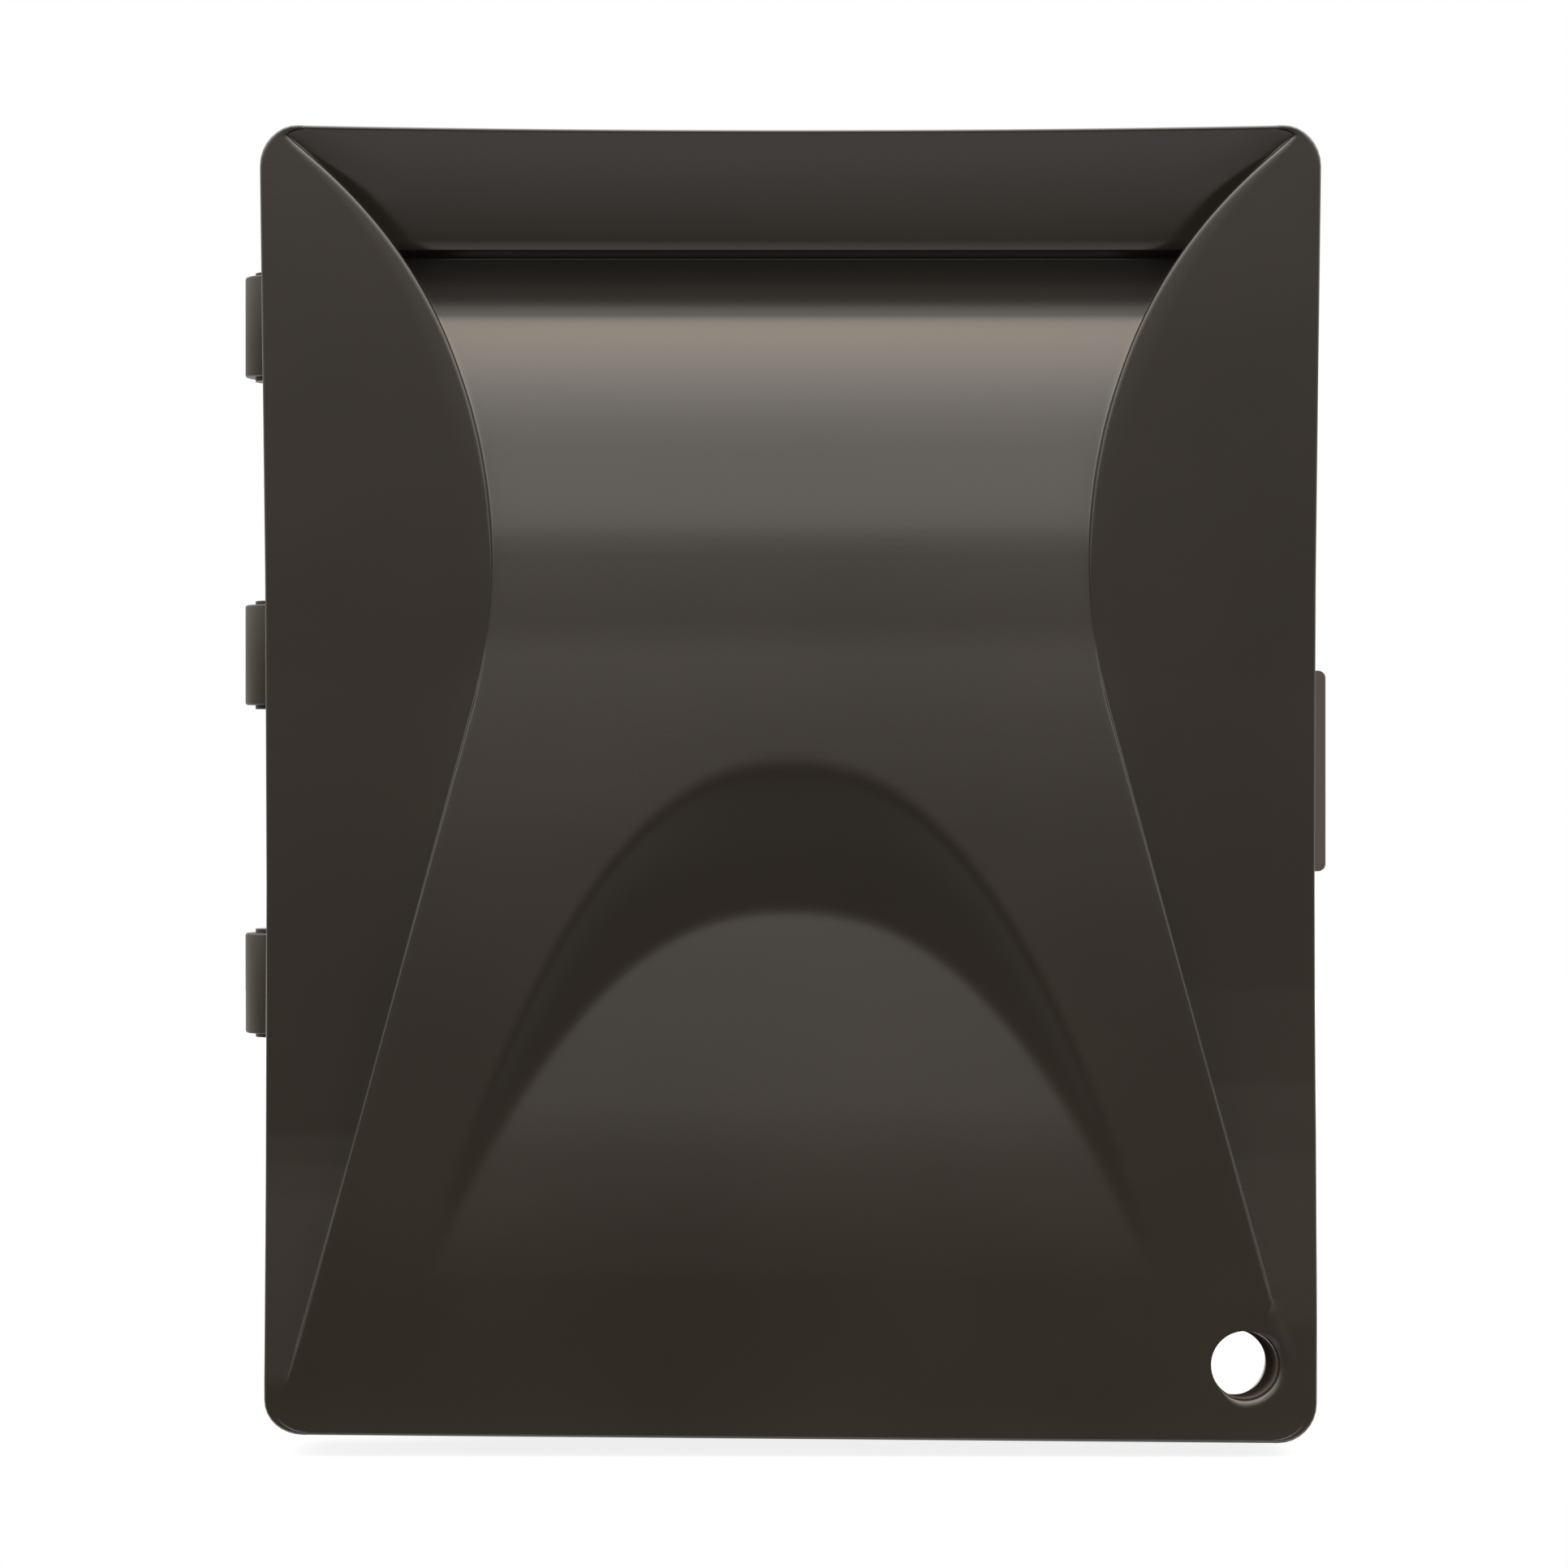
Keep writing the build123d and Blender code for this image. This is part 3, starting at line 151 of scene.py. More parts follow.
def side_arc(z, radius, centre_x, centre_z):
    """Half width of an arc that bulges inwards, its centre out at centre_x."""
    return centre_x - np.sqrt(np.maximum(radius ** 2 - (z - centre_z) ** 2, 1.0))


def panel_half(z):
    """Half width of the hourglass: a straight flare, then two arcs that run up to the corner."""
    flare_top, arcs_meet = 14.03, 84.0
    flare = 61.82 + (flare_top - z) * math.tan(math.radians(15.2))
    waist, shoulder = side_arc(z, 112.0, 169.9, 43.4), side_arc(z, 90.0, 149.4, 51.37)
    return np.where(z < flare_top, flare, np.where(z < arcs_meet, waist, shoulder))


def panel_slant(z):
    """Cosine of the lean of the hourglass edge from upright."""
    return 1.0 / np.hypot(1.0, panel_half(z + 0.5) - panel_half(z - 0.5))


def cheek_depth(side, z):
    """Depth of a cheek: flat above, and below the waist it comes forward to meet the foot."""
    left = np.interp(z, [-116, -80, -74, -68, 20], [-4.6, -1.25, -0.8, -0.5, 0.0])
    right = np.interp(z, [-118, -104, -96, -72, -58, -40, 20],
                      [-4.6, -4.4, -3.9, -1.95, -1.1, -0.5, 0.0])
    return np.where(side < 0, left, right)


def outline_half(z, inset):
    """Half width of the rounded outline drawn in by inset, with the sides' slight bow.

    It is straight between the corners, and COVER_HALF_W - CORNER_R + sqrt(r ** 2 - past ** 2)
    round them, where r is the corner's radius less inset.
    """
    bow = np.interp(z, [-127, -68, -20, 39, 76, 117, 127], [-0.05, 0.25, 0.13, 0.4, 0.85, 1.4, 1.5])
    radius = CORNER_R - inset
    past = np.clip(np.abs(z) - STRAIGHT_Z, 0.0, radius)
    return COVER_HALF_W - CORNER_R + bow + np.sqrt(radius ** 2 - past ** 2)


def smooth_max(a, b, width):
    """The larger of two fields, rounded off over the given width."""
    gap = np.clip((b - a) / width, -1.0, 1.0)
    rounded = (a + b) / 2 + width / 4 * (1 + gap ** 2)
    return np.where(np.abs(b - a) >= width, np.maximum(a, b), rounded)


def ease(share):
    """A share from 0 to 1 that starts and ends gently."""
    share = np.clip(share, 0.0, 1.0)
    return share * share * (3.0 - 2.0 * share)


def panel_depth(x, z):
    """Depth of the hourglass panel: the side profile, hollowed out under the arch.

    The band's ends sweep up to the corners. A point lies on its own arch, whose crown height c
    solves z = c + (FEET_Z - c) s, with s = (|x| / ARCH_HALF) ** ARCH_POWER. From the arch at
    c = ARCH_Z to the lip at c = LIP_Z the surface slopes evenly down from the side profile to
    the hollow's panel, which leans back below the lip.
    """
    wide = np.abs(x)
    middle = centre_depth(z)
    sweep = np.interp(z, [115.0, COVER_HALF_H], [0.0, 0.2])
    middle = middle * (1.0 - sweep * np.clip(1.0 - (panel_half(z) - wide) / 14.0, 0.0, 1.0) ** 2)
    share = np.minimum((wide / ARCH_HALF) ** ARCH_POWER, 0.9999)
    crown = (z - FEET_Z * share) / (1.0 - share)
    inward = (ARCH_Z - crown) / (ARCH_Z - LIP_Z)
    low = np.where(z < FEET_Z, FEET_DEPTH, np.interp(-z, -PANEL_Z, PANEL_DEPTH))
    fade = 34.0
    above = np.clip(z - LIP_Z, 0.0, fade)
    roof = low + HOLLOW_LEAN * (above - above ** 2 / (2 * fade))
    slope = middle + inward * (roof - middle)
    panel = np.where(z > LIP_Z, LIP_DEPTH + (z - LIP_Z) * HOLLOW_LEAN, low)
    soft = 0.02 + 0.045 * np.maximum(panel - middle, 0.0)
    hollow = -smooth_max(-slope, -panel, soft)
    scooped = smooth_max(middle, np.where(wide < ARCH_HALF, hollow, middle - 9.0), 1.2 * soft)
    return np.where((z < 14.0) & (wide < ARCH_HALF), scooped, middle)


def level_at_hole(depth, x, z):
    """Depth of the front brought level round the mouth of the padlock hole."""
    away = np.hypot(x - HOLE_X, z - HOLE_Z)
    return HOLE_DEPTH + (depth - HOLE_DEPTH) * ease((away - MOUTH_R - 0.3) / 2.0)


def cover_depth(x, z):
    """Depth of the whole front, its hourglass step drawn as a ramp of one millimetre."""
    edge = (panel_half(z) - np.abs(x)) * panel_slant(z)
    cheek = cheek_depth(np.sign(x), z)
    return level_at_hole(cheek + (panel_depth(x, z) - cheek) * ease(edge + 0.5), x, z)


def inner_depth(x, z):
    """Depth of the moulding's inside: the front grown by the wall's thickness."""
    deepest = cover_depth(x, z) + SHELL
    for ring in (0.45, 0.8, 1.0):
        lift = SHELL * math.sqrt(max(1.0 - ring ** 2, 0.0))
        for turn in np.arange(12) * math.pi / 6:
            reach = SHELL * ring
            moved = cover_depth(x + reach * math.cos(turn), z + reach * math.sin(turn))
            deepest = np.maximum(deepest, moved + lift)
    return np.minimum(deepest, REAR_RIM - 0.5)


def spread(stops, counts):
    """A rising row of numbers with the given count of steps between each pair of stops."""
    rows = [np.linspace(a, b, n, endpoint=False) for a, b, n in zip(stops[:-1], stops[1:], counts)]
    return np.concatenate(rows + [np.array([stops[-1]])])


PANEL_COLUMNS, CHEEK_COLUMNS = 72, 8


def half_front(z, inset, side):
    """One half of the front, row by row from the middle out: x and depth of each column.

    Columns run over the panel, round the quarter circle at its edge, up or down the wall of
    the step, which undercuts a sunk panel slightly, round the second quarter circle, and over
    the cheek to the outline.
    """
    half = outline_half(z, inset)
    slant = panel_slant(z)
    middle, cheek = panel_depth(panel_half(z), z), cheek_depth(side, z)
    height = np.abs(middle - cheek)
    sunk = np.where(middle > cheek, 1.0, -1.0)
    inner_r = np.minimum(np.where(sunk > 0, 0.6, 0.4), 0.4 * height)
    outer_r = np.minimum(np.where(sunk > 0, 1.0, 0.4), 0.55 * height)
    inner_w, outer_w = np.maximum(inner_r, 0.25) / slant, np.maximum(outer_r, 0.25) / slant
    edge = np.minimum(panel_half(z), half - outer_w - 0.6)
    draft = 0.06
    turn = np.linspace(0.0, math.pi / 2, 6)
    across = np.linspace(0.0, 1.0, PANEL_COLUMNS, endpoint=False)
    beyond = np.linspace(0.0, 1.0, CHEEK_COLUMNS + 1)[1:]
    wall = np.array([0.25, 0.5, 0.75])
    hidden = np.where(sunk > 0, 0.9 * edge * height / VIEW_DISTANCE, -draft)
    x_panel = np.outer(edge + hidden - inner_w, across)
    x_first = (edge + hidden)[:, None] - np.outer(inner_w, 1 - np.sin(turn))
    x_wall = (edge + hidden)[:, None] + np.outer(draft - hidden, wall)
    x_second = edge[:, None] + draft + np.outer(outer_w, 1 - np.cos(turn))
    x_cheek = x_second[:, -1:] + np.outer(half - x_second[:, -1], beyond)
    d_panel = panel_depth(x_panel, z[:, None])
    d_first = middle[:, None] - np.outer(sunk * inner_r, 1 - np.cos(turn))
    d_second = cheek[:, None] + np.outer(sunk * outer_r, 1 - np.sin(turn))
    d_wall = d_first[:, -1:] + (d_second[:, :1] - d_first[:, -1:]) * wall
    d_cheek = np.repeat(cheek[:, None], CHEEK_COLUMNS, axis=1)
    x = np.concatenate([x_panel, x_first, x_wall, x_second, x_cheek], axis=1)
    return x, np.concatenate([d_panel, d_first, d_wall, d_second, d_cheek], axis=1)


def cover_sheet(inset):
    """Grid of x, depth and z over the whole front, drawn in by inset from the outline."""
    past = np.maximum(np.abs(z_rows) - STRAIGHT_Z, 0.0) * (CORNER_R - inset) / CORNER_R
    level = np.sign(z_rows) * (np.minimum(np.abs(z_rows), STRAIGHT_Z) + past)
    x_left, d_left = half_front(level, inset, -1.0)
    x_right, d_right = half_front(level, inset, 1.0)
    x = np.concatenate([-x_left[:, :0:-1], x_right], axis=1)
    depth = np.concatenate([d_left[:, :0:-1], d_right], axis=1)
    return x, depth, np.repeat(level[:, None], x.shape[1], axis=1)


def bowed(x, z):
    """Height after the slight bow of the top edge and lift of the lower one.

    The whole bow is added at the edge, and (|z| / COVER_HALF_H) ** 14 of it further in.
    """
    bow = np.where(z > 0, 0.9 * (x / 95.0) ** 2, 0.6 - 0.0085 * x)
    return z + bow * (np.abs(z) / COVER_HALF_H) ** 14


def border(first_row, last_row, first, last, columns):
    """Grid indices once round a block of a grid."""
    down = [(r, first) for r in range(first_row, last_row)]
    along = [(last_row, c) for c in range(first, last)]
    back = [(r, last) for r in range(last_row, first_row, -1)]
    home = [(first_row, c) for c in range(last, first, -1)]
    return np.array([r * columns + c for r, c in down + along + back + home])


def grid_faces(rows, columns):
    """Quads of a grid of points."""
    index = np.arange(rows * columns).reshape(rows, columns)
    return np.stack([index[:-1, :-1], index[:-1, 1:], index[1:, 1:], index[1:, :-1]], axis=-1)


def loop_faces(first, second):
    """Quads between two closed loops of points."""
    return np.stack([first, np.roll(first, -1), np.roll(second, -1), second], axis=-1)


def make_piece(name, points, quads, body):
    """Puts points and quads into a smooth mesh object that rides on a body."""
    mesh = bpy.data.meshes.new(name)
    mesh.vertices.add(len(points))
    mesh.vertices.foreach_set("co", np.ascontiguousarray(points, dtype=np.float32).ravel())
    mesh.loops.add(quads.size)
    mesh.loops.foreach_set("vertex_index", np.ascontiguousarray(quads, dtype=np.int32).ravel())
    mesh.polygons.add(len(quads))
    starts = np.arange(0, quads.size, quads.shape[1], dtype=np.int32)
    mesh.polygons.foreach_set("loop_start", starts)
    mesh.update(calc_edges=True)
    mesh.validate()
    mesh.polygons.foreach_set("use_smooth", np.full(len(mesh.polygons), True))
    piece = bpy.data.objects.new(name, mesh)
    bpy.context.scene.collection.objects.link(piece)
    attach(piece, body)
    return piece


# The front and the inside as two grids. Rows lie closest under the arch and at the hood's lip.
corner_rows = STRAIGHT_Z + CORNER_R * np.sin(np.radians(np.linspace(90.0, 0.0, 9)))
between = spread([-STRAIGHT_Z, -100.0, 5.0, 22.0, 86.0, 90.4, 103.2, BAND_LIP_Z, STRAIGHT_Z],
                 [13, 118, 8, 20, 5, 20, 12, 8])
z_rows = np.concatenate([-corner_rows[:-1], between, corner_rows[-2::-1]])
front_x, front_depth, front_z = cover_sheet(RIM_R)
inside_x, _, inside_z = cover_sheet(SHELL)
rows, columns = front_x.shape
front_depth = level_at_hole(front_depth, front_x, front_z)
inside_depth = inner_depth(inside_x, inside_z)
points = [np.stack([front_x, front_depth, front_z], axis=-1).reshape(-1, 3),
          np.stack([inside_x, inside_depth, inside_z], axis=-1).reshape(-1, 3)]
inside_from = rows * columns
total = 2 * inside_from

# The sheets' quads, less the block round the padlock hole.
low_row = int(np.searchsorted(z_rows, HOLE_Z - 10.2)) - 1
high_row = int(np.searchsorted(z_rows, HOLE_Z + 10.6))
block_left = columns // 2 + int(PANEL_COLUMNS * (HOLE_X - 10.8) / panel_half(HOLE_Z))
block_right = columns - 6
faces = grid_faces(rows, columns)
keep = np.ones((rows - 1, columns - 1), bool)
keep[low_row:high_row, block_left:block_right] = False
sheet = faces[keep]
quads = [sheet, sheet[:, ::-1] + inside_from]

# The rim: a small round off the front, the side wall, and the squared rear lip.
ring = border(0, rows - 1, 0, columns - 1, columns)
ring_x, ring_z, ring_depth = front_x.ravel()[ring], front_z.ravel()[ring], front_depth.ravel()[ring]
out_x = np.sign(ring_x) * np.maximum(np.abs(ring_x) - outline_half(ring_z, CORNER_R), 0.0)
out_z = np.sign(ring_z) * np.maximum(np.abs(ring_z) - STRAIGHT_Z, 0.0)
size = np.hypot(out_x, out_z)
out_x, out_z = out_x / size, out_z / size
fall = (centre_depth(ring_z) - centre_depth(ring_z - 0.2)) / 0.2
lean = np.arctan(np.where(np.abs(ring_x) < panel_half(ring_z), fall, 0.0) * out_z)
round_r = RIM_R / (1.0 - np.sin(lean))
loops = []
for share in np.linspace(0.0, 1.0, 8)[1:]:
    angle = lean + (math.pi / 2 - lean) * share
    out = round_r * (np.sin(angle) - np.sin(lean))
    loops.append((out, ring_depth + round_r * (np.cos(lean) - np.cos(angle))))
for inwards, before_rear in ((0.0, 0.5), (0.15, 0.15), (0.5, 0.0), (SHELL - 0.4, 0.0)):
    loops.append((RIM_R - inwards, np.full_like(ring_depth, REAR_RIM - before_rear)))
previous = ring
for out, depth in loops:
    points.append(np.stack([ring_x + out_x * out, depth, ring_z + out_z * out], axis=-1))
    here = total + np.arange(len(ring))
    quads.append(loop_faces(previous, here))
    previous = here
    total += len(ring)
quads.append(loop_faces(previous, ring + inside_from))

# The padlock hole: rings draw in to a mouth that is dished most towards the lower right, and
# a seat leads back to the inside. The bore falls slightly, as the sleeve behind it does.
DISH_TURN = 0.55
LEAST_DISH = 0.15
MOUTH_FALL = 0.117
block = border(low_row, high_row, block_left, block_right, columns)
hole_x, hole_z = front_x.ravel()[block], front_z.ravel()[block]
away = np.hypot(hole_x - HOLE_X, hole_z - HOLE_Z)
side_x, side_z = (hole_x - HOLE_X) / away, (hole_z - HOLE_Z) / away
towards = side_x * math.cos(DISH_TURN) - side_z * math.sin(DISH_TURN)
dish = LEAST_DISH + (MOUTH_R - BORE_R - LEAST_DISH) * ease((towards + 0.40) / 0.9)
loops = []
for share in (0.25, 0.5, 0.72, 0.88, 1.0):
    reach = away + (BORE_R + dish - away) * share
    loops.append((reach, cover_depth(HOLE_X + side_x * reach, HOLE_Z + side_z * reach)))
for angle in np.radians([12.0, 24.0, 36.0, 48.0, 60.0, 72.0, 82.0]):
    loops.append((BORE_R + dish * (1 - math.sin(angle)), HOLE_DEPTH + dish * (1 - math.cos(angle))))
loops += [(BORE_R, HOLE_DEPTH + 2.05), (SEAT_R, HOLE_DEPTH + 2.10)]
inside_hole = inside_x.ravel()[block], inside_z.ravel()[block]
away = np.hypot(inside_hole[0] - HOLE_X, inside_hole[1] - HOLE_Z)
for share in (0.0, 0.3, 0.6, 0.85):
    reach = SEAT_R + (away - SEAT_R) * share
    loops.append((reach, inner_depth(HOLE_X + side_x * reach, HOLE_Z + side_z * reach)))
previous = block
for reach, depth in loops:
    depth = depth + np.zeros_like(side_x)
    drop = MOUTH_FALL * np.clip(depth - HOLE_DEPTH, 0.0, 2.0)
    loop_x, loop_z = HOLE_X + side_x * reach, HOLE_Z + side_z * reach - drop
    points.append(np.stack([loop_x, depth, loop_z], axis=-1))
    here = total + np.arange(len(block))
    quads.append(loop_faces(previous, here)[:, ::-1])
    previous = here
    total += len(block)
quads.append(loop_faces(previous, block + inside_from)[:, ::-1])

# The edges bow, and the points that no quad uses are dropped.
points, quads = np.concatenate(points), np.concatenate(quads)
points[:, 2] = bowed(points[:, 0], points[:, 2])
used, quads = np.unique(quads, return_inverse=True)
points, quads = place(*points[used].T), quads.reshape(-1, 4)
cover_skin = make_piece("cover_skin", points, quads, "cover")
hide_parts("cover")


def satin(name, colour, roughness, grain, mottle, bump=0.05, shine=0.5):
    """A moulded plastic: an even colour with faint clouds, a fine spark grain and its sheen."""
    material = bpy.data.materials.new(name)
    material.use_nodes = True
    nodes, links = material.node_tree.nodes, material.node_tree.links
    shader = nodes["Principled BSDF"]
    shader.inputs["IOR"].default_value = 1.52
    shader.inputs["Specular IOR Level"].default_value = shine
    where = nodes.new("ShaderNodeTexCoord")
    clouds = nodes.new("ShaderNodeTexNoise")
    clouds.inputs["Scale"].default_value = 14.0
    clouds.inputs["Detail"].default_value = 3.0
    tint = nodes.new("ShaderNodeValToRGB")
    tint.color_ramp.elements[0].position = 0.3
    tint.color_ramp.elements[0].color = [c * (1.0 - mottle) for c in colour] + [1.0]
    tint.color_ramp.elements[1].position = 0.7
    tint.color_ramp.elements[1].color = [c * (1.0 + mottle) for c in colour] + [1.0]
    links.new(where.outputs["Object"], clouds.inputs["Vector"])
    links.new(clouds.outputs["Fac"], tint.inputs["Fac"])
    links.new(tint.outputs["Color"], shader.inputs["Base Color"])
    sheen = nodes.new("ShaderNodeMapRange")
    sheen.inputs["To Min"].default_value = roughness - 0.04
    sheen.inputs["To Max"].default_value = roughness + 0.05
    links.new(clouds.outputs["Fac"], sheen.inputs["Value"])
    links.new(sheen.outputs["Result"], shader.inputs["Roughness"])
    spark = nodes.new("ShaderNodeTexNoise")
    spark.inputs["Scale"].default_value = grain
    spark.inputs["Detail"].default_value = 2.0
    links.new(where.outputs["Object"], spark.inputs["Vector"])
    relief = nodes.new("ShaderNodeBump")
    relief.inputs["Strength"].default_value = bump
    relief.inputs["Distance"].default_value = 0.0002
    links.new(spark.outputs["Fac"], relief.inputs["Height"])
    links.new(relief.outputs["Normal"], shader.inputs["Normal"])
    return material


cover_satin = satin("cover_satin", (0.0175, 0.0142, 0.0104), 0.20, 1400.0, 0.10)
cover_skin.data.materials.append(cover_satin)


# ---- The hinge barrels ----------------------------------------------------------------------
# Three barrels are moulded onto the cover's left edge, each on a short web behind the rim,
# in the same plastic and with softened ends. Their material is that plastic painted lighter and
# matter: painted light for the light their rounded sides catch.
HINGE_X, HINGE_DEPTH = -103.2, 25.0
BARREL_R, BARREL_HALF, BARREL_BORE_R = 6.0, 10.0, 2.79
BARREL_ZS = (91.4, 25.8, -39.8)


def turned(radii, lengths, centre, along, sideways, count):
    """A closed profile of (radius, length) pairs carried round a line; points and quads.

    A point is centre + length along + radius (cos t sideways + sin t third).
    """
    radii, lengths = np.asarray(radii, float), np.asarray(lengths, float)
    centre, along, sideways = (np.asarray(v, float) for v in (centre, along, sideways))
    along = along / np.linalg.norm(along)
    third = np.cross(along, sideways)
    turn = np.linspace(0.0, 2 * np.pi, count, endpoint=False)
    round_way = np.outer(np.cos(turn), sideways) + np.outer(np.sin(turn), third)
    points = centre + lengths[None, :, None] * along + radii[None, :, None] * round_way[:, None, :]
    index = np.arange(count * len(radii)).reshape(count, len(radii))
    ahead, beyond = np.roll(index, -1, axis=0), np.roll(index, -1, axis=1)
    quads = np.stack([index, ahead, np.roll(ahead, -1, axis=1), beyond], axis=-1).reshape(-1, 4)
    return points.reshape(-1, 3), quads


def facing_out(points, quads):
    """Turns every face over if the closed form they make has its faces inwards."""
    a, b, c, d = (points[quads[:, i]] for i in range(4))
    volume = np.sum(a * np.cross(b, c)) + np.sum(a * np.cross(c, d))
    return quads if volume > 0 else quads[:, ::-1]


def rounded_block(low, high, radius, across):
    """A block whose edges along one axis are rounded: a rounded outline carried across.

    A point of the outline is middle + sign (half - radius) + radius (cos t, sin t), and the
    two end rings are drawn in a little to soften the ends.
    """
    low, high = np.asarray(low, float), np.asarray(high, float)
    axes = [i for i in range(3) if i != across]
    middle, half = (low + high)[axes] / 2, (high - low)[axes] / 2
    per_corner = 5
    count = 4 * per_corner
    corner = np.linspace(0.0, np.pi / 2, per_corner)
    turn = np.concatenate([corner + k * np.pi / 2 for k in range(4)])
    sign = np.repeat(np.array([[1, 1], [-1, 1], [-1, -1], [1, -1]]), per_corner, axis=0)
    way = np.stack([np.cos(turn), np.sin(turn)], axis=-1)
    flat = middle + sign * (half - radius) + radius * way
    soft = min(radius, 0.3)
    bottom, top = low[across], high[across]
    rings = []
    for level, pull in ((bottom, soft), (bottom + soft, 0.0), (top - soft, 0.0), (top, soft)):
        ring_points = np.zeros((count, 3))
        ring_points[:, axes] = middle + (flat - middle) * (1 - pull / half)
        ring_points[:, across] = level
        rings.append(ring_points)
    index = np.arange(4 * count).reshape(4, count)
    walls = [loop_faces(index[i], index[i + 1]) for i in range(3)]
    caps = [[end[i], end[i + 1], end[count - 2 - i], end[count - 1 - i]]
            for end in (index[0], index[3][::-1]) for i in range(count // 2 - 1)]
    return np.concatenate(rings), np.concatenate(walls + [np.array(caps)])


def join(parts):
    """Several (points, quads) joined into one pair, each with its faces outwards."""
    points, quads, total = [], [], 0
    for p, q in parts:
        points.append(p)
        quads.append(facing_out(p, q) + total)
        total += len(p)
    return np.concatenate(points), np.concatenate(quads)


parts = []
for z in BARREL_ZS:
    radii = [BARREL_BORE_R, BARREL_BORE_R + 0.2, BARREL_R - 0.45, BARREL_R - 0.13, BARREL_R]
    short_of_end = [0.2, 0.0, 0.0, 0.13, 0.45]
    lower = [short - BARREL_HALF for short in short_of_end]
    lengths = lower + [-length for length in lower[::-1]]
    barrel_centre = HINGE_X, HINGE_DEPTH, z
    parts.append(turned(radii + radii[::-1], lengths, barrel_centre, (0, 0, 1), (1, 0, 0), 56))
    web_low = -COVER_HALF_W, 16.2, z - BARREL_HALF
    web_high = -99.1, HINGE_DEPTH, z + BARREL_HALF
    parts.append(rounded_block(web_low, web_high, 0.5, 2))
barrel_points, barrel_quads = join(parts)
barrel_points = place(*barrel_points.T)
cover_barrels = make_piece("cover_barrels", barrel_points, barrel_quads, "cover")
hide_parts("cover")
# Painted light: the barrels' colour is lighter than the cover's plastic, for the light on their
# rounded sides.
barrel_painted_light = satin("barrel_painted_light", (0.030, 0.026, 0.020), 0.50, 1400.0, 0.10, shine=0.15)
cover_barrels.data.materials.append(barrel_painted_light)


# ---- The padlock hole's ring ----------------------------------------------------------------
# A short sleeve of the cover's plastic sits behind the dished mouth of the corner hole and
# carries the shackle through; its bore falls slightly towards the back. Its colour is that
# plastic painted lighter and without shine: painted light for the light seen on the bore's wall.
RAKE = math.radians(6.7)
ring_r = [7.9, 6.7, 6.42, 6.35, 6.35, 6.9, 7.7, 7.9]
ring_s = [2.16, 2.16, 2.22, 2.4, 18.7, 21.3, 21.3, 21.0]
ring_along = 0.0, math.cos(RAKE), -math.sin(RAKE)
ring_centre = HOLE_X, HOLE_DEPTH, HOLE_Z
ring_points, ring_quads = turned(ring_r, ring_s, ring_centre, ring_along, (1.0, 0.0, 0.0), 72)
ring_quads = facing_out(ring_points, ring_quads)
hole_ring = make_piece("hole_ring", place(*ring_points.T), ring_quads, "cover")
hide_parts("lock_ferrule")
# Painted light: the sleeve's colour is about four times lighter than the cover's plastic, with no
# shine, for the light seen on the bore's wall.
ring_painted_light = satin("ring_painted_light", (0.072, 0.057, 0.050), 0.55, 1400.0, 0.10, shine=0.0)
hole_ring.data.materials.append(ring_painted_light)


# ---- Bright and plated metal ----------------------------------------------------------------
# Rods and pins are ground steel, brackets are zinc-plated pressings with a faint grain, the
# screws are plated, and the ballast and the follower's weight are cut from mill bar. Each is
# drawn or rolled along one way, which its streaks follow.
def dress(node, material):
    """Gives a CAD node's object one material all over."""
    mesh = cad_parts[node].data
    mesh.materials.clear()
    mesh.materials.append(material)


def metal(name, colour, roughness, stretch, streak):
    """A metal whose streaks run along the axis that stretch shrinks, with small dull patches."""
    material = bpy.data.materials.new(name)
    material.use_nodes = True
    nodes, links = material.node_tree.nodes, material.node_tree.links
    shader = nodes["Principled BSDF"]
    shader.inputs["Metallic"].default_value = 1.0
    where = nodes.new("ShaderNodeTexCoord")
    turn = nodes.new("ShaderNodeMapping")
    turn.inputs["Scale"].default_value = stretch
    links.new(where.outputs["Object"], turn.inputs["Vector"])
    grain = nodes.new("ShaderNodeTexNoise")
    grain.inputs["Scale"].default_value = 900.0
    grain.inputs["Detail"].default_value = 4.0
    links.new(turn.outputs["Vector"], grain.inputs["Vector"])
    patch = nodes.new("ShaderNodeTexNoise")
    patch.inputs["Scale"].default_value = 120.0
    links.new(where.outputs["Object"], patch.inputs["Vector"])
    tint = nodes.new("ShaderNodeValToRGB")
    tint.color_ramp.elements[0].color = [c * (1 - streak) for c in colour] + [1.0]
    tint.color_ramp.elements[1].color = [min(c * (1 + streak), 1.0) for c in colour] + [1.0]
    links.new(grain.outputs["Fac"], tint.inputs["Fac"])
    links.new(tint.outputs["Color"], shader.inputs["Base Color"])
    dull = nodes.new("ShaderNodeMapRange")
    dull.inputs["To Min"].default_value = roughness - 0.07
    dull.inputs["To Max"].default_value = roughness + 0.10
    links.new(patch.outputs["Fac"], dull.inputs["Value"])
    links.new(dull.outputs["Result"], shader.inputs["Roughness"])
    relief = nodes.new("ShaderNodeBump")
    relief.inputs["Strength"].default_value = 0.08
    relief.inputs["Distance"].default_value = 0.0001
    links.new(grain.outputs["Fac"], relief.inputs["Height"])
    links.new(relief.outputs["Normal"], shader.inputs["Normal"])
    return material


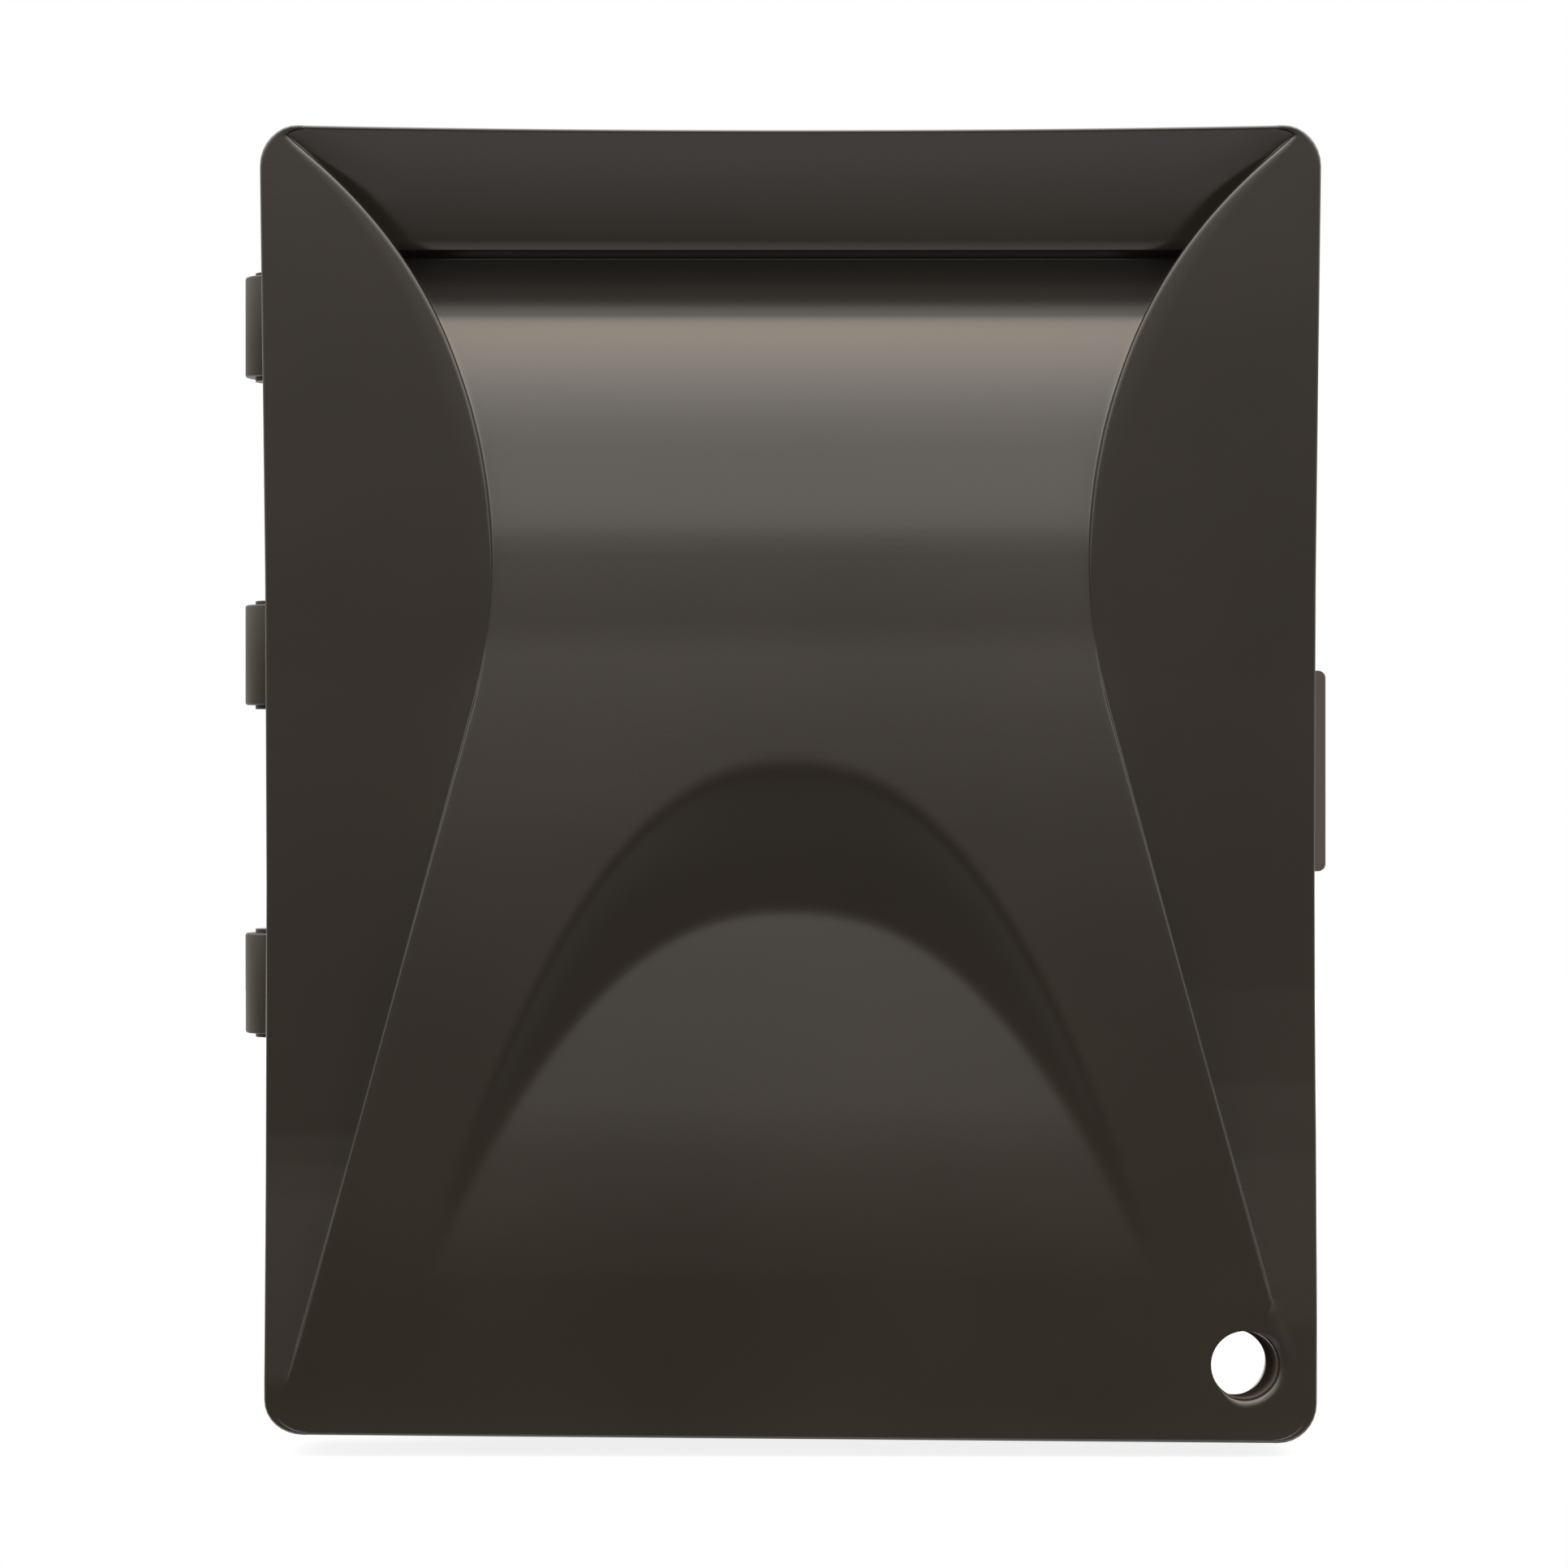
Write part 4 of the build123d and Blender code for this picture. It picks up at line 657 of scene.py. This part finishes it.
rod_steel = metal("rod_steel", (0.62, 0.63, 0.64), 0.24, (1.0, 1.0, 0.05), 0.10)
plate_zinc = metal("plate_zinc", (0.56, 0.56, 0.53), 0.36, (1.0, 0.08, 1.0), 0.16)
screw_zinc = metal("screw_zinc", (0.52, 0.52, 0.50), 0.30, (1.0, 1.0, 1.0), 0.20)
spring_wire = metal("spring_wire", (0.42, 0.43, 0.45), 0.28, (0.1, 1.0, 1.0), 0.12)
mill_steel = metal("mill_steel", (0.22, 0.22, 0.225), 0.48, (0.06, 1.0, 1.0), 0.25)
for node in ("hinge_rod", "latch_pin", "guide_rods"):
    dress(node, rod_steel)
for node in ("latch_keeper", "latch_bracket", "hasp_lug"):
    dress(node, plate_zinc)
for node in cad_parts:
    if node.endswith("screws"):
        dress(node, screw_zinc)
for node in ("ballast", "follower_weight"):
    dress(node, mill_steel)


# ---- The lever's spring ---------------------------------------------------------------------
# A small open coil of spring wire pushes the rear end of the latch lever outwards. On the real
# latch its turns close up as the lever is pressed; this coil keeps one shape on the housing.
# Its ends are cut square.
def coil(length, radius, wire, turns):
    """Wire wound on the helix (length s, radius sin t, -radius cos t), t = 2 pi turns s.

    Each ring of the wire is wire (out cos a + side sin a), and both ends are closed flat.
    """
    per_turn, sides = 24, 12
    s = np.linspace(0.0, 1.0, per_turn * turns + 1)
    t = 2 * math.pi * turns * s
    middle = np.stack([length * s, radius * np.sin(t), -radius * np.cos(t)], axis=-1)
    pitch = np.full_like(t, length / (2 * math.pi * turns))
    along = np.stack([pitch, radius * np.cos(t), radius * np.sin(t)], axis=-1)
    along /= np.linalg.norm(along, axis=1)[:, None]
    out = np.stack([0 * t, np.sin(t), -np.cos(t)], axis=-1)
    side = np.cross(along, out)
    a = (np.arange(sides) * 2 * math.pi / sides)[None, :, None]
    rings = middle[:, None] + wire * (out[:, None] * np.cos(a) + side[:, None] * np.sin(a))
    here, k = np.meshgrid(np.arange(len(s) - 1) * sides, np.arange(sides), indexing="ij")
    ahead, after = here + sides, (k + 1) % sides
    walls = np.stack([here + k, here + after, ahead + after, ahead + k], axis=-1)
    end = np.array([[j, j + 1, sides - 2 - j, sides - 1 - j] for j in range(sides // 2 - 1)])
    quads = np.concatenate([walls.reshape(-1, 4), end[:, ::-1], end + sides * (len(s) - 1)])
    return rings.reshape(-1, 3), quads


WIRE_R = 0.0003
low, high = (np.array(corner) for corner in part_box("latch_spring"))
spring_points, spring_quads = coil(high[0] - low[0] - 2 * WIRE_R, 0.0019, WIRE_R, 5)
spring_points += [low[0] + WIRE_R, (low[1] + high[1]) / 2, (low[2] + high[2]) / 2]
spring_coil = make_piece("spring_coil", spring_points, spring_quads, "housing")
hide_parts("latch_spring")
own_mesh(spring_coil)
spring_coil.data.materials.append(spring_wire)


# ---- The housing and its fittings -----------------------------------------------------------
# The housing, pedestal, hinge strip and rod brackets are moulded in a near-black plastic with
# a fine leather-like spark texture; the inner plates are a plain charcoal moulding, and the
# frame round the mouth is a lighter brown.
housing_black = satin("housing_black", (0.020, 0.0185, 0.0165), 0.42, 900.0, 0.12, 0.22)
inner_charcoal = satin("inner_charcoal", (0.034, 0.032, 0.029), 0.38, 1300.0, 0.08, 0.10)
bezel_brown = satin("bezel_brown", (0.085, 0.070, 0.058), 0.33, 1300.0, 0.06, 0.06)
for node in ("housing_shell", "pedestal", "hinge_strip", "rod_brackets"):
    dress(node, housing_black)
for node in ("mouth_panel", "bottom_plate", "follower_plate"):
    dress(node, inner_charcoal)
dress("mouth_bezel", bezel_brown)


# ---- The latch lever ------------------------------------------------------------------------
# A small rocking lever on the right edge, moulded in a warmer, lighter brown than the cover.
# Its rear end is pressed in to draw the tooth at its front out of the cover's keeper.
lever_brown = satin("lever_brown", (0.088, 0.072, 0.064), 0.36, 1300.0, 0.06, 0.06)
dress("latch_lever", lever_brown)


# ---- Bushes, feet and pad -------------------------------------------------------------------
# Dark nylon bushes for the hinge and the follower, black rubber feet with a dusty bloom, and
# a thin grey foam pad under the follower's plate.
nylon = satin("nylon", (0.024, 0.021, 0.017), 0.50, 700.0, 0.05, 0.08, shine=0.15)
for node in ("hinge_bushes", "follower_bushes"):
    dress(node, nylon)
dress("feet", satin("foot_rubber", (0.013, 0.013, 0.013), 0.72, 500.0, 0.25, 0.35))
dress("follower_pad", satin("pad_foam", (0.055, 0.056, 0.060), 0.85, 420.0, 0.22, 0.80))


# ---- The counter and the room ---------------------------------------------------------------
# A plain pale counter that ends just before the cover, inside a soft light tent: bright above
# the viewer, dim below but for one strip, plain at the sides and behind, with one soft lamp
# over the back.
def combine(tree, operation, *values):
    """A maths node on up to three inputs, each a socket or a number; gives its output socket."""
    node = tree.nodes.new("ShaderNodeMath")
    node.operation = operation
    for socket, value in zip(node.inputs, values):
        if isinstance(value, (int, float)):
            socket.default_value = value
        else:
            tree.links.new(value, socket)
    return node.outputs["Value"]


def ramp(tree, value, stops):
    """Reads a value between 0 and 1 off a line through (place, level, warmth) stops."""
    node = tree.nodes.new("ShaderNodeValToRGB")
    elements = node.color_ramp.elements
    for number, (where_at, level, warm) in enumerate(stops):
        stop = elements[0] if number == 0 else elements.new(where_at)
        stop.position = where_at
        stop.color = (level, level * (1.0 - 0.13 * warm), level * (1.0 - 0.25 * warm), 1.0)
    elements.remove(elements[-1])
    tree.links.new(value, node.inputs["Fac"])
    return node.outputs["Color"]


def white_to_viewer(tree, plain, share, gloss):
    """Mixes plain white into a shader: a share for camera rays, and gloss for mirrored ones."""
    nodes, links = tree.nodes, tree.links
    rays = nodes.new("ShaderNodeLightPath")
    white = nodes.new("ShaderNodeEmission")
    white.inputs["Strength"].default_value = 1.0
    mirrored = combine(tree, "MAXIMUM",
                       rays.outputs["Is Glossy Ray"], rays.outputs["Is Transmission Ray"])
    seen = combine(tree, "MULTIPLY", rays.outputs["Is Camera Ray"], share)
    mix = nodes.new("ShaderNodeMixShader")
    white_share = combine(tree, "MAXIMUM", seen, combine(tree, "MULTIPLY", mirrored, gloss))
    links.new(white_share, mix.inputs["Fac"])
    links.new(plain, mix.inputs[1])
    links.new(white.outputs["Emission"], mix.inputs[2])
    return mix.outputs["Shader"]


COUNTER_REACH, COUNTER_FRONT = 1.6, -0.077
counter_mesh = bpy.data.meshes.new("counter")
counter_corners = [(-COUNTER_REACH, COUNTER_FRONT, 0.0), (COUNTER_REACH, COUNTER_FRONT, 0.0),
                   (COUNTER_REACH, COUNTER_REACH, 0.0), (-COUNTER_REACH, COUNTER_REACH, 0.0)]
counter_mesh.from_pydata(counter_corners, [], [(0, 1, 2, 3)])
counter = bpy.data.objects.new("counter", counter_mesh)
bpy.context.scene.collection.objects.link(counter)
pale = bpy.data.materials.new("pale_counter")
pale.use_nodes = True
tree = pale.node_tree
top = tree.nodes["Principled BSDF"]
top.inputs["Base Color"].default_value = (0.80, 0.79, 0.77, 1.0)
top.inputs["Roughness"].default_value = 0.7
counter_top = white_to_viewer(tree, top.outputs["BSDF"], 0.85, 0.5)
tree.links.new(counter_top, tree.nodes["Material Output"].inputs["Surface"])
counter_mesh.materials.append(pale)

# The tent in front of the cover: degrees above level, and how bright it is there. The light
# from WARM_FROM degrees up is the warmest.
TENT_PEAK = 7.0
TENT_LEVELS = [(-90, 0.05), (-62, 0.05), (-52, 0.6), (-46, 1.2), (-35, 0.7), (-28, 0.42),
               (-25, 0.16), (-20, 0.13), (-10, 0.13), (-5, 0.17), (0, 0.28), (4, 0.34),
               (7.5, 0.33), (9.5, 0.66), (11, 0.88), (13, 0.88), (17, 1.0), (19.5, 2.2),
               (22, 2.3), (31, 2.25), (34, 2.1), (40, 2.6), (43, 3.2), (49, 4.4), (54, 6.6),
               (62, 6.6), (72, 2.0), (90, 1.0)]
WARM_FROM = 50
world = bpy.data.worlds.new("light_tent")
world.use_nodes = True
bpy.context.scene.world = world
tree = world.node_tree
way = tree.nodes.new("ShaderNodeTexCoord")
parts_of = tree.nodes.new("ShaderNodeSeparateXYZ")
tree.links.new(way.outputs["Generated"], parts_of.inputs["Vector"])
north, up = parts_of.outputs["Y"], parts_of.outputs["Z"]
height = combine(tree, "MULTIPLY_ADD", up, 0.5, 0.5)
stops = [(math.sin(math.radians(degrees)) / 2 + 0.5, level / TENT_PEAK,
          1.0 if degrees > WARM_FROM else 0.35) for degrees, level in TENT_LEVELS]
front_light = ramp(tree, height, stops)
other_light = ramp(tree, height, [(0.0, 0.04, 0.3), (0.5, 0.05, 0.3), (1.0, 0.27, 0.3)])

# How squarely a direction points to the front, which fades one light into the other. The
# 1.0001 keeps the root above zero straight up and straight down.
up_squared = combine(tree, "MULTIPLY", up, up)
level_reach = combine(tree, "SQRT", combine(tree, "SUBTRACT", 1.0001, up_squared))
ahead = combine(tree, "DIVIDE", north, level_reach)
facing = ramp(tree, combine(tree, "MULTIPLY_ADD", ahead, -0.5, 0.5),
              [(0.0, 0.0, 0.0), (0.68, 0.0, 0.0), (0.87, 1.0, 0.0), (1.0, 1.0, 0.0)])
blend = tree.nodes.new("ShaderNodeMix")
blend.data_type = "RGBA"
tree.links.new(facing, blend.inputs["Factor"])
tree.links.new(other_light, blend.inputs["A"])
tree.links.new(front_light, blend.inputs["B"])
sky = tree.nodes["Background"]
sky.inputs["Strength"].default_value = TENT_PEAK
tree.links.new(blend.outputs["Result"], sky.inputs["Color"])
behind = ramp(tree, north, [(0.0, 0.0, 0.0), (0.2, 0.0, 0.0), (0.6, 0.55, 0.0), (1.0, 0.55, 0.0)])
room_light = white_to_viewer(tree, sky.outputs["Background"], 1.0, behind)
tree.links.new(room_light, tree.nodes["World Output"].inputs["Surface"])


LAMP_AIM_Y, LAMP_AIM_Z = -0.06, 0.13


def soft_lamp(name, azimuth, elevation, distance, width, height, level, colour):
    """A soft rectangular lamp aimed at the object; level is how bright its face looks."""
    data = bpy.data.lights.new(name, "AREA")
    data.shape = "RECTANGLE"
    data.size, data.size_y = width, height
    data.energy = level * math.pi * width * height
    data.color = colour
    lamp = bpy.data.objects.new(name, data)
    az, el = math.radians(azimuth), math.radians(elevation)
    reach = distance * math.cos(el)
    lamp.location = (reach * math.sin(az), LAMP_AIM_Y - reach * math.cos(az),
                     LAMP_AIM_Z + distance * math.sin(el))
    lamp.rotation_euler = (math.radians(90.0) - el, 0.0, az)
    lamp.visible_camera = False
    bpy.context.scene.collection.objects.link(lamp)


soft_lamp("lamp_back", azimuth=180.0, elevation=45.0, distance=1.30, width=1.4, height=0.9,
          level=0.4, colour=(1.0, 0.98, 0.95))
